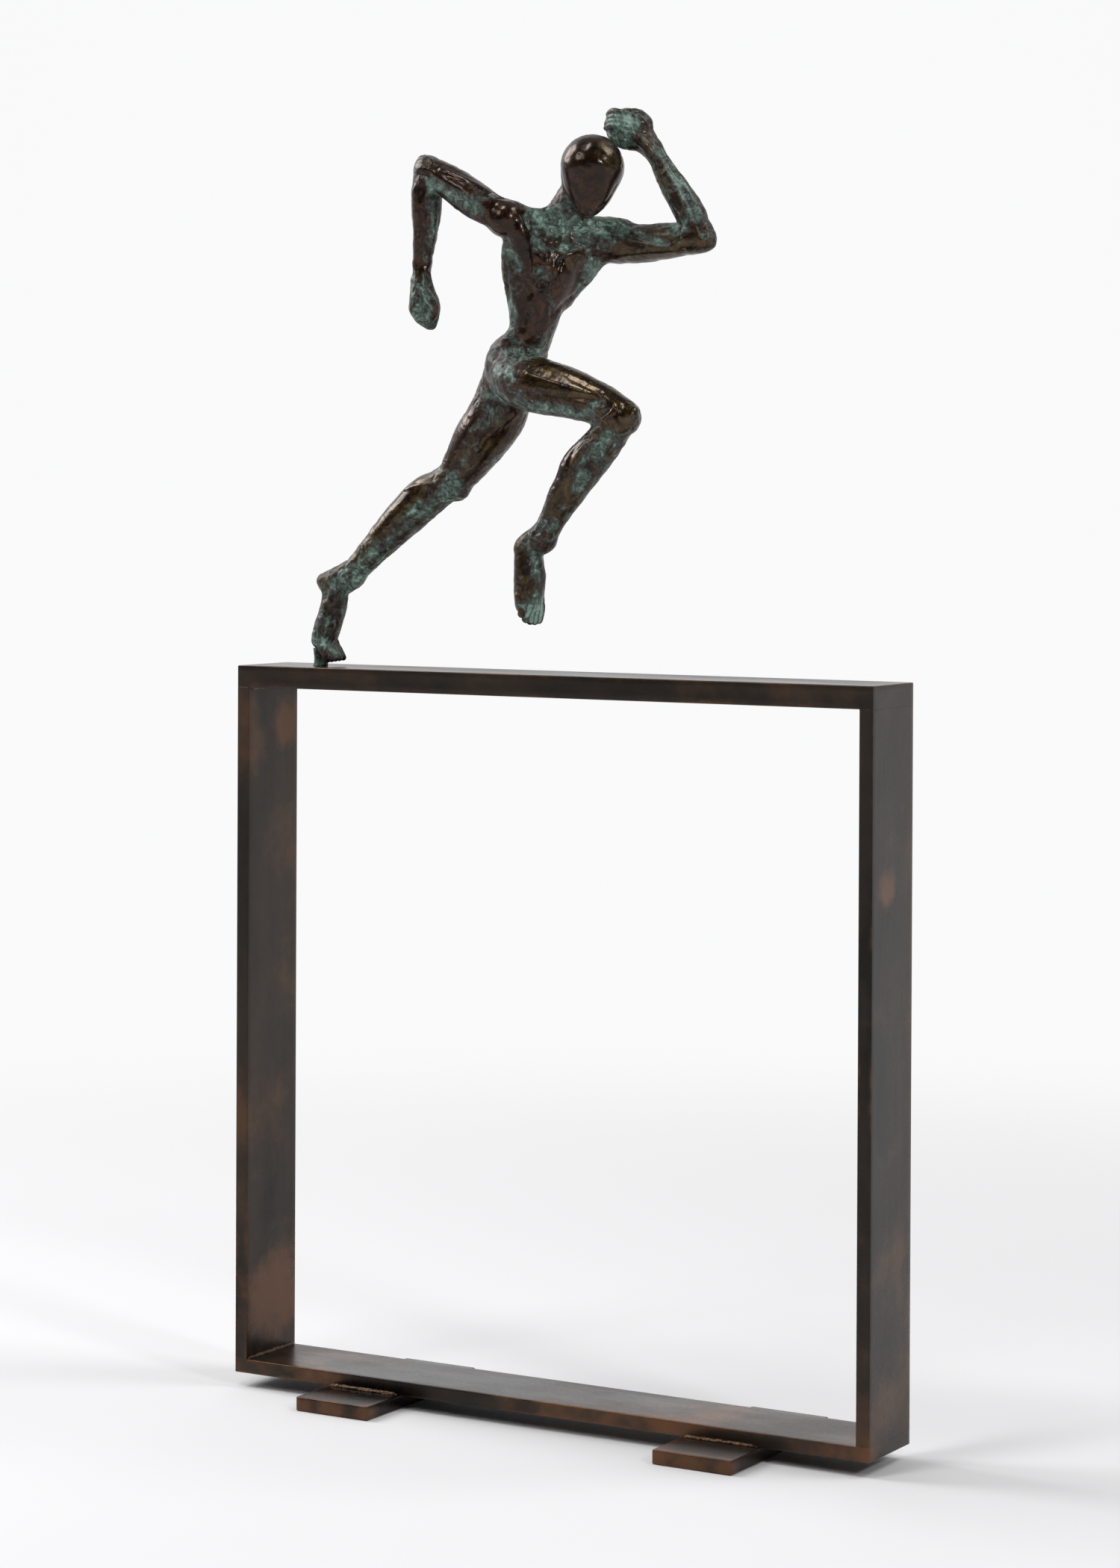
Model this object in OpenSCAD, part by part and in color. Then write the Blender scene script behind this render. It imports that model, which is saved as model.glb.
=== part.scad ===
// Figure trophy: a cast runner on one toe, standing on an open frame of flat bar.
// X runs along the frame, Y is its depth, Z is up, and the origin is on the floor under the middle.

/* [Frame] */
// Overall width of the open frame
frame_w = 408; // [380:1:450]
// Height from the underside of the bottom bar to the top of the top bar
frame_h = 410; // [380:1:450]
// Width of the flat bar, which is the depth of the frame
bar_w = 50; // [40:1:60]
// Thickness of the bottom bar and of both uprights
bar_t = 8; // [6:0.5:10]
// Thickness of the heavier top bar
top_t = 12.5; // [10:0.5:16]
// Broken edge along every bar
bar_edge = 0.5; // [0.2:0.1:1]

/* [Foot plates] */
// Length of each foot plate, across the frame
foot_len = 115; // [105:1:140]
// Width of each foot plate, along the frame
foot_w = 48; // [40:1:60]
// Thickness of each foot plate
foot_t = 8; // [6:0.5:10]
// Distance of each foot plate from the middle of the frame
foot_x = 115; // [80:1:150]

/* [Welds] */
// Radius of the weld beads inside the corners and over the foot plates
weld_r = 1.8; // [1:0.1:3]

/* [Figure] */
// Size of the whole figure against its usual height of about 317 mm
figure_scale = 1; // [0.96:0.02:1.04]
// Distance of the toe the figure stands on from the middle of the frame
figure_x = 162.9; // [150:0.1:170]
// Facets around each rounded form of the castings
form_fn = 22; // [18:2:24]

/* [Fixing through the top bar] */
// Diameter of the short post under the ball of the foot
post_d = 9; // [8:0.2:10]
// Height of the post above the top bar
post_h = 9; // [7:0.5:10]
// Diameter of the screw's shank
screw_d = 5; // [4:0.5:6]
// Diameter of its countersunk head, flush with the underside of the bar
screw_head_d = 10; // [9:0.5:12]
// Width across the flats of the hexagon socket in the head
socket_af = 3; // [2.5:0.5:3.5]

/* [Pins between the castings] */
// Diameter of the pins
pin_d = 4; // [3:0.5:5]
// How far each pin reaches into each casting
pin_reach = 6; // [4:0.5:7]

/* [Hidden] */
eps = 0.01;
frame_top = foot_t + frame_h;
upright_z0 = foot_t + bar_t;
upright_h = frame_h - bar_t - top_t;
post_at = [-figure_x, 0, frame_top];
bronze = [0.28, 0.2, 0.13];
verdigris = [0.3, 0.45, 0.36];
dark_bar = [0.16, 0.13, 0.11];
weld_tone = [0.35, 0.25, 0.17];
steel = [0.62, 0.62, 0.6];
pin_gap = 0.12;

// Joint faces of the castings: [a point on the face, the way out of the torso].
// All figure points are measured from the foot of the post, along X, Y and Z.
neck_face = [[165.3, -4, 258.5], unit([0.52, 0, 0.85])];
shoulder_face_r = [[142.6, -18.8, 253], unit([-0.68, -0.68, 0.27])];
shoulder_face_l = [[174.6, 15.2, 243.4], unit([0.76, 0.57, 0.3])];
hip_face_r = [[147.2, -15, 162.5], unit([0.86, -0.42, -0.28])];
hip_face_l = [[117.6, 9, 155.5], unit([-0.5, 0.05, -0.86])];

// Which part to draw, or all of them

function unit(v) = v / norm(v);

// ---------- frame helpers ----------

// A flat bar section with broken edges, wide across the first axis
module bar_section(w, t) {
  e = bar_edge;
  polygon([
    [-w / 2 + e, 0], [w / 2 - e, 0], [w / 2, e], [w / 2, t - e],
    [w / 2 - e, t], [-w / 2 + e, t], [-w / 2, t - e], [-w / 2, e]
  ]);
}

// A level bar along X, its underside at z
module level_bar(length, t, z) {
  translate([-length / 2, 0, z]) rotate([90, 0, 90]) linear_extrude(height = length) bar_section(bar_w, t);
}

// An upright bar with its outer face at x, thickening toward the middle
module upright_bar(x, side) {
  translate([x - (side > 0 ? bar_t : 0), 0, upright_z0])
    linear_extrude(height = upright_h) rotate(90) mirror([0, 1]) bar_section(bar_w, bar_t);
}

// A quarter-round weld bead, its square corner on the joint and its round side facing the open corner
module bead_section() {
  intersection() {
    circle(r = weld_r, $fn = 48);
    square(weld_r);
  }
}

// A bead inside a frame corner: side is -1 left or 1 right, rise is 1 above the bottom bar or -1 below the top
module corner_bead(side, rise) {
  run = bar_w - 2 * bar_edge - 1;
  z = rise > 0 ? upright_z0 : upright_z0 + upright_h;
  translate([side * (frame_w / 2 - bar_t), run / 2, z])
    rotate([90, 0, 0]) mirror([side > 0 ? 1 : 0, 0, 0]) mirror([0, rise > 0 ? 0 : 1, 0])
      linear_extrude(height = run) bead_section();
}

// A bead where the bottom bar crosses a foot plate: face is -1 at the front or 1 at the back
module foot_bead(side, face) {
  run = foot_w - 2;
  translate([side * foot_x - run / 2, face * bar_w / 2, foot_t])
    rotate([90, 0, 90]) mirror([face > 0 ? 0 : 1, 0, 0]) linear_extrude(height = run) bead_section();
}

// A foot plate lying across the frame, on the floor
module foot_plate(side) {
  translate([side * foot_x, foot_len / 2, 0]) rotate([90, 0, 0])
    linear_extrude(height = foot_len) bar_section(foot_w, foot_t);
}

// ---------- figure helpers ----------

// Places figure points, which are measured from the foot of the post
module at_post() {
  translate(post_at) scale(figure_scale) children();
}

// A rounded form: p is its centre, r its radius seen from the side, k its depth against that radius
module form(p, r, k = 1) {
  translate(p) scale([1, k, 1]) sphere(r = r, $fn = form_fn);
}

// A limb: rounded forms joined one to the next, each listed as [x, y, z, radius, depth share]
module limb(stations) {
  for (i = [0 : len(stations) - 2]) {
    a = stations[i];
    b = stations[i + 1];
    hull() {
      form([a[0], a[1], a[2]], a[3], a[4]);
      form([b[0], b[1], b[2]], b[3], b[4]);
    }
  }
}

// An oval mass: half sizes along its own axes, then turned
module mass(p, half, turn = [0, 0, 0]) {
  hull() translate(p) rotate(turn) scale(half) sphere(r = 1, $fn = form_fn);
}

// Thin roll such as a finger or a toe
module roll(a, b, r) {
  hull() {
    translate(a) sphere(r = r, $fn = 12);
    translate(b) sphere(r = r, $fn = 12);
  }
}

// Turns the Z axis to point along n
module point_along(n) {
  rotate([0, acos(n[2]), atan2(n[1], n[0])]) children();
}

// A block standing on a joint face, used to cut a casting square to that face
module block_on(face, way, w, d) {
  translate(face[0]) point_along(way * face[1]) translate([-w / 2, -w / 2, 0]) cube([w, w, d]);
}

// The hole for a joint pin, going both ways through its face
module pin_hole(face) {
  translate(face[0]) point_along(face[1])
    cylinder(d = pin_d + 2 * pin_gap, h = 2 * pin_reach, center = true, $fn = 32);
}

module joint_pin(face) {
  color(steel) at_post() translate(face[0]) point_along(face[1])
    cylinder(d = pin_d, h = 2 * pin_reach, center = true, $fn = 48);
}

// ---------- frame ----------

module top_bar() {
  color(dark_bar) difference() {
    level_bar(frame_w, top_t, frame_top - top_t);
    translate([post_at[0], 0, frame_top - top_t - 1]) {
      cylinder(d = screw_d + 0.5, h = top_t + 2, $fn = 48);
      cylinder(d1 = screw_head_d + 2, d2 = screw_d, h = (screw_head_d - screw_d) / 2 + 1, $fn = 48);
    }
  }
}

module bottom_bar() {
  color(dark_bar) level_bar(frame_w, bar_t, foot_t);
}

module left_upright() {
  color(dark_bar) upright_bar(-frame_w / 2, -1);
}

module right_upright() {
  color(dark_bar) upright_bar(frame_w / 2, 1);
}

module left_foot_plate() {
  color(dark_bar) foot_plate(-1);
}

module right_foot_plate() {
  color(dark_bar) foot_plate(1);
}

module corner_weld_top_left() {
  color(weld_tone) corner_bead(-1, -1);
}

module corner_weld_top_right() {
  color(weld_tone) corner_bead(1, -1);
}

module corner_weld_bottom_left() {
  color(weld_tone) corner_bead(-1, 1);
}

module corner_weld_bottom_right() {
  color(weld_tone) corner_bead(1, 1);
}

module foot_weld_left_front() {
  color(weld_tone) foot_bead(-1, -1);
}

module foot_weld_left_back() {
  color(weld_tone) foot_bead(-1, 1);
}

module foot_weld_right_front() {
  color(weld_tone) foot_bead(1, -1);
}

module foot_weld_right_back() {
  color(weld_tone) foot_bead(1, 1);
}

// ---------- fixing through the top bar ----------

module mounting_post() {
  color(verdigris) translate(post_at) difference() {
    cylinder(d = post_d, h = post_h, $fn = 48);
    translate([0, 0, -1]) cylinder(d = screw_d, h = post_h + 2, $fn = 48);
  }
}

// Runs from the underside of the top bar up into the ball of the foot
module mounting_screw() {
  color(steel) translate([post_at[0], 0, frame_top - top_t]) difference() {
    union() {
      cylinder(d = screw_d, h = top_t + post_h + 6, $fn = 48);
      cylinder(d1 = screw_head_d, d2 = screw_d, h = (screw_head_d - screw_d) / 2, $fn = 48);
    }
    translate([0, 0, -1]) cylinder(r = socket_af / 2 / cos(30), h = 3, $fn = 6);
  }
}

// ---------- figure castings ----------

module torso() {
  color(bronze) at_post() difference() {
    union() {
      // Pelvis, with the seat behind it and both hip sockets
      mass([132, -1, 174], [16, 17, 15], [0, 24, 8]);
      limb([[123, 5, 169, 14.5, 1], [118.3, 9.6, 156, 15.8, 1], [112.8, 10, 144, 16.2, 1]]);
      limb([[133, -8, 169, 14, 1], [144, -15, 163.6, 15.8, 1], [160, -17.5, 160, 15.2, 1]]);
      // Belly and waist
      limb([[134, -2, 176, 14.4, 1.1], [143.5, -4, 190, 12.6, 1.1], [146.5, -4, 205, 15.5, 1], [150, -3, 222, 19, 1]]);
      // Rib cage and shoulder girdle, turned toward the raised arm's side
      mass([150.5, -3, 226], [16, 23, 22], [0, 18, -38]);
      mass([154, -3, 238], [14, 26, 14], [0, 14, -38]);
      // Wings of the back, running up into both armpits
      limb([[141, -9, 212, 9, 1], [141, -13.5, 232, 8.6, 1], [143, -16, 246, 8, 1]]);
      limb([[157, 6, 214, 9, 1], [167.5, 14, 230, 9.6, 1], [174, 18, 240, 10, 1]]);
      // Chest muscles
      mass([149.5, -11.5, 238], [9, 13, 9.5], [0, 18, -38]);
      mass([163, 0.5, 237], [9, 13, 9.5], [0, 18, -38]);
      // Slopes from the neck to both shoulders
      limb([[156, -3, 250, 9, 1], [147, -14, 250.5, 9.2, 1], [138, -23, 253, 10, 1]]);
      limb([[156, -3, 250, 9, 1], [169, 10, 244.5, 10.5, 1], [184, 21.5, 242, 12, 1]]);
      // Neck
      limb([[155, -3, 244, 11, 1], [162, -4, 254, 8.6, 1], [168.5, -4, 264, 8.2, 1]]);
    }
    block_on(neck_face, 1, 40, 30);
    block_on(shoulder_face_r, 1, 46, 40);
    block_on(shoulder_face_l, 1, 46, 40);
    block_on(hip_face_r, 1, 60, 40);
    block_on(hip_face_l, 1, 60, 40);
    for (f = [neck_face, shoulder_face_r, shoulder_face_l, hip_face_r, hip_face_l]) pin_hole(f);
  }
}

module head() {
  color(bronze) at_post() difference() {
    union() {
      // Skull, then a face plane that narrows to the chin
      mass([181.6, -2, 282.2], [17.4, 18, 17.4], [0, 8, 0]);
      limb([[181.6, -2, 280, 16.6, 1], [181, -5, 268, 13.2, 0.95], [181.5, -9, 257, 4.2, 1]]);
      limb([[176, -3, 276, 12, 1], [171, -4, 266, 8.2, 1], [162, -4, 254, 8.6, 1]]);
      mass([180, -2, 285], [15, 17, 14]);
      mass([178.5, 1, 280], [15.5, 17, 15]);
      mass([182, -6, 274], [14, 13, 13]);
      mass([183, -8, 264], [8, 8, 9]);
    }
    block_on(neck_face, -1, 60, 40);
    pin_hole(neck_face);
  }
}

module right_arm() {
  color(bronze) at_post() difference() {
    union() {
      // Shoulder and upper arm, held back with the elbow high
      limb([[146, -15, 251, 9.4, 1], [138, -23, 253, 10, 1], [120, -28, 265, 10, 1], [106, -28, 273.5, 9.4, 1]]);
      limb([[106, -28, 273.5, 9.4, 1], [91, -28, 281, 8, 1], [86.6, -28, 287, 3.4, 1]]);
      // Forearm hanging to the wrist
      limb([[90.5, -28, 280, 8, 1], [89, -28, 264, 8.6, 1], [88.6, -28, 246, 7.3, 1], [86.4, -28, 222, 5.2, 1]]);
      // Loose fist, coming to a point
      limb([[86.6, -28, 222, 5.2, 1], [87.4, -28, 213, 7.2, 1], [89.2, -28, 204, 8.8, 0.9], [92, -28, 194, 3.8, 1]]);
      roll([95, -32, 210], [97, -31, 201], 3);
    }
    block_on(shoulder_face_r, -1, 60, 30);
    pin_hole(shoulder_face_r);
  }
}

module left_arm() {
  color(bronze) at_post() difference() {
    union() {
      // Shoulder and upper arm, level and reaching forward
      limb([[169, 10, 244.5, 10.5, 1], [184, 21.5, 242, 12, 1], [207, 23, 240.5, 10.3, 1], [226, 23, 241.5, 9.2, 1]]);
      limb([[226, 23, 241.5, 9.2, 1], [238.2, 22.5, 242, 7.6, 1], [242, 22.5, 240, 4.6, 1]]);
      // Forearm rising and leaning back to the brow
      limb([[237, 22.5, 243, 7.6, 1], [229.5, 22, 257, 8.2, 1], [218.5, 21, 274, 7.2, 1], [208.4, 20, 291, 5.2, 1]]);
      // Closed fist with its four fingers
      limb([[208.4, 20, 291, 5.2, 1], [198.5, 18, 302, 8.6, 1], [191, 17, 303.5, 10, 1]]);
      for (i = [0 : 3]) {
        roll([186 + i * 1.3, 9.5, 298 + i * 4.4], [184 + i * 2.6, 16, 300 + i * 3.9], 2.9);
      }
    }
    block_on(shoulder_face_l, -1, 40, 40);
    pin_hole(shoulder_face_l);
  }
}

module right_leg() {
  color(bronze) at_post() difference() {
    union() {
      // Thigh driven forward, a little below level
      limb([[144, -15, 163.6, 15.8, 1], [160, -17.5, 160, 15.2, 1], [166, -18, 158, 14.8, 1]]);
      limb([[166, -18, 158, 14.8, 1], [188, -18, 152.5, 12.6, 1], [210, -18, 143.5, 10.4, 1]]);
      mass([213.5, -18, 141.5], [8, 8.5, 8.5]);
      // Shin folding back under the knee, fullest at the calf
      limb([[209.6, -18, 142, 9.4, 1], [197, -17, 129, 10.8, 1], [183.5, -16, 115, 11.2, 1], [168.5, -15, 93, 8.6, 1]]);
      limb([[168.5, -15, 93, 8.6, 1], [157, -14, 75, 7.2, 1], [150, -14, 62, 8.2, 1.1]]);
      // Foot hanging with the toes down
      limb([[157, -14, 74, 7, 1], [145.5, -14, 71.5, 6, 1]]);
      limb([[148.5, -14, 68, 8, 1], [149.5, -14, 55, 8.8, 1.15], [148.6, -14, 40, 7.8, 1.35]]);
      for (i = [0 : 4]) {
        roll([147.8 + i * 0.4, -22 + i * 4.1, 38 - i * 0.3], [148.6 + i * 0.3, -22.4 + i * 4.3, 29.5 + i * 0.7], 2.5);
      }
    }
    block_on(hip_face_r, -1, 70, 40);
    pin_hole(hip_face_r);
  }
}

module left_leg() {
  color(bronze) at_post() difference() {
    union() {
      // Thigh pushing off, long and straight
      limb([[118.3, 9.6, 156, 15.8, 1], [112.8, 10, 144, 16.2, 1], [99.4, 9, 126, 15, 1], [86, 8, 107, 11, 1]]);
      mass([88.6, 6.5, 101.4], [6, 7, 6]);
      // Shin with a high calf
      limb([[85, 8, 107.5, 9.6, 1], [69, 7, 98.4, 11.6, 1], [56, 6, 89.4, 12, 1], [36, 4, 69.4, 9, 1]]);
      limb([[36, 4, 69.4, 9, 1], [19.4, 3, 52.4, 7.4, 1], [8, 1, 35, 7.2, 1]]);
      // Raised heel, arch, then the ball of the foot over the post
      limb([[17, 3, 52, 7.4, 1], [2.4, 2, 49, 6, 1]]);
      limb([[8, 2, 46, 8, 1], [8, 1, 34, 7.4, 1.15], [3.6, 0, 20, 7.2, 1.4], [1, 0, 13, 5.4, 1.5]]);
      for (i = [0 : 4]) {
        roll([1.5, -7.6 + i * 3.8, 14], [5.6 + i * 0.4, -8 + i * 4, 5.4 + i * 0.2], 2.4);
      }
    }
    block_on(hip_face_l, -1, 70, 40);
    pin_hole(hip_face_l);
    translate([0, 0, -eps]) cylinder(d = post_d / figure_scale + eps, h = post_h / figure_scale + eps, $fn = 48);
    translate([-7, -10, -eps]) cube([11.6, 20, post_h / figure_scale + eps]);
    cylinder(d = (screw_d + 0.3) / figure_scale, h = (post_h + 6) / figure_scale, $fn = 48);
  }
}

// ---------- pins ----------

module neck_pin() {
  joint_pin(neck_face);
}

module right_shoulder_pin() {
  joint_pin(shoulder_face_r);
}

module left_shoulder_pin() {
  joint_pin(shoulder_face_l);
}

module right_hip_pin() {
  joint_pin(hip_face_r);
}

module left_hip_pin() {
  joint_pin(hip_face_l);
}

top_bar();
left_upright();
right_upright();
bottom_bar();
left_foot_plate();
right_foot_plate();
corner_weld_top_left();
corner_weld_top_right();
corner_weld_bottom_left();
corner_weld_bottom_right();
foot_weld_left_front();
foot_weld_left_back();
foot_weld_right_front();
foot_weld_right_back();
mounting_post();
mounting_screw();
torso();
head();
right_arm();
left_arm();
right_leg();
left_leg();
neck_pin();
right_shoulder_pin();
left_shoulder_pin();
right_hip_pin();
left_hip_pin();
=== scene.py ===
"""Figure trophy: a cast runner on one toe, standing on an open frame of patinated flat bar."""

import logging
import math
from dataclasses import dataclass
from enum import Enum
from typing import Callable, Iterable, Sequence

import bmesh
import bpy
import numpy as np
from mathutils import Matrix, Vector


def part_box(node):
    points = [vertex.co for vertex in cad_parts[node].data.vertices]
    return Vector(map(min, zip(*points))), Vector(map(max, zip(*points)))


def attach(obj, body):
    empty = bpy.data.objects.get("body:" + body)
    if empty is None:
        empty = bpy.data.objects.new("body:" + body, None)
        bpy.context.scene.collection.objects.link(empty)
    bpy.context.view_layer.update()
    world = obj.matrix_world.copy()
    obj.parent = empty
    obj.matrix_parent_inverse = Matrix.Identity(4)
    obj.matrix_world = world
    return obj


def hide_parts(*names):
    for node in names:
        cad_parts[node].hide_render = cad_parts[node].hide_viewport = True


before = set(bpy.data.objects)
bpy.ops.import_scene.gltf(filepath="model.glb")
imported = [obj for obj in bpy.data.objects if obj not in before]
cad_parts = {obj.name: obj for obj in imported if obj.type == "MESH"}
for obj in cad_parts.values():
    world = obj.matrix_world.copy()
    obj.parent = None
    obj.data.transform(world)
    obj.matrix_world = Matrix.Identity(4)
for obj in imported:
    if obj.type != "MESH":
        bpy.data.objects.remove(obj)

import openvdb
from mathutils import Matrix, Vector

log = logging.getLogger("figure_trophy")
MM = 0.001
# Distance kept where the clay is empty, in millimetres
FAR = 12.0

Point = tuple[float, float, float]
Station = tuple[float, float, float, float]
Colour = tuple[float, float, float]


# ---------------------------------------------------------------- small helpers


@dataclass(frozen=True)
class Grain:
    """Smooth random values over space, the same on every run.

    Attributes:
        size: Distance between neighbouring random values, in millimetres.
        seed: Number that picks one table of values.
    """

    size: float
    seed: int

    def at(self, points: np.ndarray) -> np.ndarray:
        """Values between -1 and 1 at each point.

        Args:
            points: Array of shape (n, 3), in millimetres.

        Returns:
            Array of n values.
        """
        table = np.random.default_rng(self.seed).random((32, 32, 32)).astype(np.float32) * 2 - 1
        scaled = np.asarray(points, np.float32) / self.size + 500.0
        cell = np.floor(scaled).astype(np.int64)
        part = scaled - cell
        part = part * part * (3 - 2 * part)
        total = np.zeros(len(scaled), np.float32)
        for corner in range(8):
            step = np.array([corner & 1, corner >> 1 & 1, corner >> 2 & 1])
            share = np.prod(np.where(step == 1, part, 1 - part), axis=1)
            at = (cell + step) & 31
            total += share * table[at[:, 0], at[:, 1], at[:, 2]]
        return total


def turned(degrees: Point) -> np.ndarray:
    """Rotation about X, then Y, then Z.

    Args:
        degrees: The three angles.

    Returns:
        A 3 by 3 matrix.
    """
    x, y, z = (math.radians(d) for d in degrees)
    turn = Matrix.Rotation(z, 3, "Z") @ Matrix.Rotation(y, 3, "Y") @ Matrix.Rotation(x, 3, "X")
    return np.array(turn)


def eased(stations: Sequence[Sequence[float]], per: int = 7) -> np.ndarray:
    """Runs a smooth curve through every column of a list.

    Args:
        stations: Rows to pass through.
        per: New rows for each gap.

    Returns:
        Array of the rows along the curve.
    """
    rows = np.asarray(stations, float)
    ends = np.vstack([2 * rows[0] - rows[1], rows, 2 * rows[-1] - rows[-2]])
    out = []
    for a, b, c, d in zip(ends, ends[1:], ends[2:], ends[3:]):
        for t in np.arange(per) / per:
            out.append(0.5 * (2 * b + (c - a) * t + (2 * a - 5 * b + 4 * c - d) * t**2
                              + (3 * b - a - 3 * c + d) * t**3))
    return np.vstack([*out, rows[-1]])


def new_mesh(name: str, points: np.ndarray, faces: Iterable[Sequence[int]]) -> bpy.types.Object:
    """Makes a smooth-shaded mesh object.

    Args:
        name: Name of the piece.
        points: Vertices in metres.
        faces: Vertex numbers of each face.

    Returns:
        The linked object.
    """
    mesh = bpy.data.meshes.new(name)
    mesh.from_pydata([tuple(map(float, p)) for p in points], [], [tuple(map(int, f)) for f in faces])
    mesh.shade_smooth()
    made = bpy.data.objects.new(name, mesh)
    bpy.context.scene.collection.objects.link(made)
    return made


def set_values(made: bpy.types.Object, name: str, values: np.ndarray) -> None:
    """Stores one number for each vertex under a name that the finishes read."""
    layer = made.data.attributes.new(name, "FLOAT", "POINT")
    layer.data.foreach_set("value", np.ascontiguousarray(values, np.float32))


def dress(made: bpy.types.Object, finish: bpy.types.Material, slot: str, *nodes: str) -> None:
    """Gives a piece its finish and seats it on the frame.

    Args:
        made: The piece.
        finish: Its material.
        slot: Not used.
        nodes: CAD nodes that it stands for.
    """
    made.data.materials.clear()
    made.data.materials.append(finish)
    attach(made, "root")
    if nodes:
        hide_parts(*nodes)
    log.info("%s: %d vertices", made.name, len(made.data.vertices))


# ---------------------------------------------------------------- finishes


class Sheet:
    """A material's node tree, with short calls for the nodes that the finishes share."""

    def __init__(self, name: str) -> None:
        """Starts an empty material.

        Args:
            name: Name of the material.
        """
        self.material = bpy.data.materials.new(name)
        self.material.use_nodes = True
        self.tree = self.material.node_tree
        self.tree.nodes.clear()
        self.output = self.tree.nodes.new("ShaderNodeOutputMaterial")
        self.where = self.tree.nodes.new("ShaderNodeTexCoord").outputs["Object"]

    def put(self, socket: bpy.types.NodeSocket, value: object) -> None:
        """Links a socket to another, or sets its value."""
        if isinstance(value, bpy.types.NodeSocket):
            self.tree.links.new(value, socket)
        elif isinstance(value, tuple) and len(value) == 3 and socket.type == "RGBA":
            socket.default_value = (*value, 1.0)
        else:
            socket.default_value = value

    def stretched(self, scale: Point) -> bpy.types.NodeSocket:
        """Object coordinates scaled by a different amount on each axis.

        Args:
            scale: Factor on each axis.

        Returns:
            The coordinates' socket.
        """
        mapping = self.tree.nodes.new("ShaderNodeMapping")
        self.put(mapping.inputs["Vector"], self.where)
        mapping.inputs["Scale"].default_value = scale
        return mapping.outputs["Vector"]

    def noise(self, scale: float, detail: float = 4.0, rough: float = 0.55,
              where: bpy.types.NodeSocket | None = None, distortion: float = 0.0) -> bpy.types.NodeSocket:
        """Fractal noise.

        Args:
            scale: Features per metre.
            detail: Octaves.
            rough: Share kept by each finer octave.
            where: Coordinates, or the object's own.
            distortion: How far the pattern is warped.

        Returns:
            The noise value's socket.
        """
        node = self.tree.nodes.new("ShaderNodeTexNoise")
        self.put(node.inputs["Vector"], where or self.where)
        node.inputs["Scale"].default_value = scale
        node.inputs["Detail"].default_value = detail
        node.inputs["Roughness"].default_value = rough
        node.inputs["Distortion"].default_value = distortion
        return node.outputs["Fac"]

    def cells(self, scale: float) -> bpy.types.NodeSocket:
        """Distance to the nearest of a scatter of points, for pits and specks.

        Args:
            scale: Points per metre.

        Returns:
            The distance's socket.
        """
        node = self.tree.nodes.new("ShaderNodeTexVoronoi")
        self.put(node.inputs["Vector"], self.where)
        node.inputs["Scale"].default_value = scale
        return node.outputs["Distance"]

    def value(self, name: str) -> bpy.types.NodeSocket:
        """A number stored on the mesh.

        Args:
            name: Name that it was stored under.

        Returns:
            The number's socket.
        """
        node = self.tree.nodes.new("ShaderNodeAttribute")
        node.attribute_name = name
        return node.outputs["Fac"]

    def calc(self, operation: str, a: object, b: object = 0.0, c: object = 0.0) -> bpy.types.NodeSocket:
        """One arithmetic step, named as Blender names it.

        Args:
            operation: Name of the step.
            a: First number or socket.
            b: Second one.
            c: Third one, where the step has three.

        Returns:
            The result's socket.
        """
        node = self.tree.nodes.new("ShaderNodeMath")
        node.operation = operation
        for socket, value in zip(node.inputs, (a, b, c)):
            self.put(socket, value)
        return node.outputs[0]

    def span(self, value: object, low: float, high: float, to_low: float = 0.0,
             to_high: float = 1.0) -> bpy.types.NodeSocket:
        """Smoothly maps low..high onto to_low..to_high, held at both ends.

        Args:
            value: What is mapped.
            low: Where the change starts.
            high: Where it ends.
            to_low: Result up to there.
            to_high: Result from there on.

        Returns:
            The result's socket.
        """
        node = self.tree.nodes.new("ShaderNodeMapRange")
        node.interpolation_type = "SMOOTHSTEP"
        self.put(node.inputs["Value"], value)
        for key, number in (("From Min", low), ("From Max", high), ("To Min", to_low), ("To Max", to_high)):
            node.inputs[key].default_value = number
        return node.outputs["Result"]

    def blend(self, share: object, a: object, b: object) -> bpy.types.NodeSocket:
        """Mixes two colours.

        Args:
            share: How much of the second one shows.
            a: First colour.
            b: Second colour.

        Returns:
            The mixed colour's socket.
        """
        node = self.tree.nodes.new("ShaderNodeMix")
        node.data_type = "RGBA"
        self.put(node.inputs["Factor"], share)
        self.put(node.inputs[6], a)
        self.put(node.inputs[7], b)
        return node.outputs[2]

    def ramp(self, share: object, stops: Sequence[tuple[float, Colour]]) -> bpy.types.NodeSocket:
        """Runs a value through a list of (place, colour) stops.

        Args:
            share: The value.
            stops: The stops, in rising order.

        Returns:
            The colour's socket.
        """
        node = self.tree.nodes.new("ShaderNodeValToRGB")
        self.put(node.inputs["Fac"], share)
        while len(node.color_ramp.elements) < len(stops):
            node.color_ramp.elements.new(0.5)
        for element, (place, colour) in zip(node.color_ramp.elements, stops):
            element.position = place
            element.color = (*colour, 1.0)
        return node.outputs["Color"]

    def bump(self, height: object, strength: float, distance: float,
             under: bpy.types.NodeSocket | None = None) -> bpy.types.NodeSocket:
        """Turns a height into a tilted normal, on top of another bump if one is given.

        Args:
            height: The height.
            strength: Share of the tilt that shows.
            distance: What a height of 1 stands for, in metres.
            under: The bump below.

        Returns:
            The normal's socket.
        """
        node = self.tree.nodes.new("ShaderNodeBump")
        node.inputs["Strength"].default_value = strength
        node.inputs["Distance"].default_value = distance
        self.put(node.inputs["Height"], height)
        if under is not None:
            self.put(node.inputs["Normal"], under)
        return node.outputs["Normal"]

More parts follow.
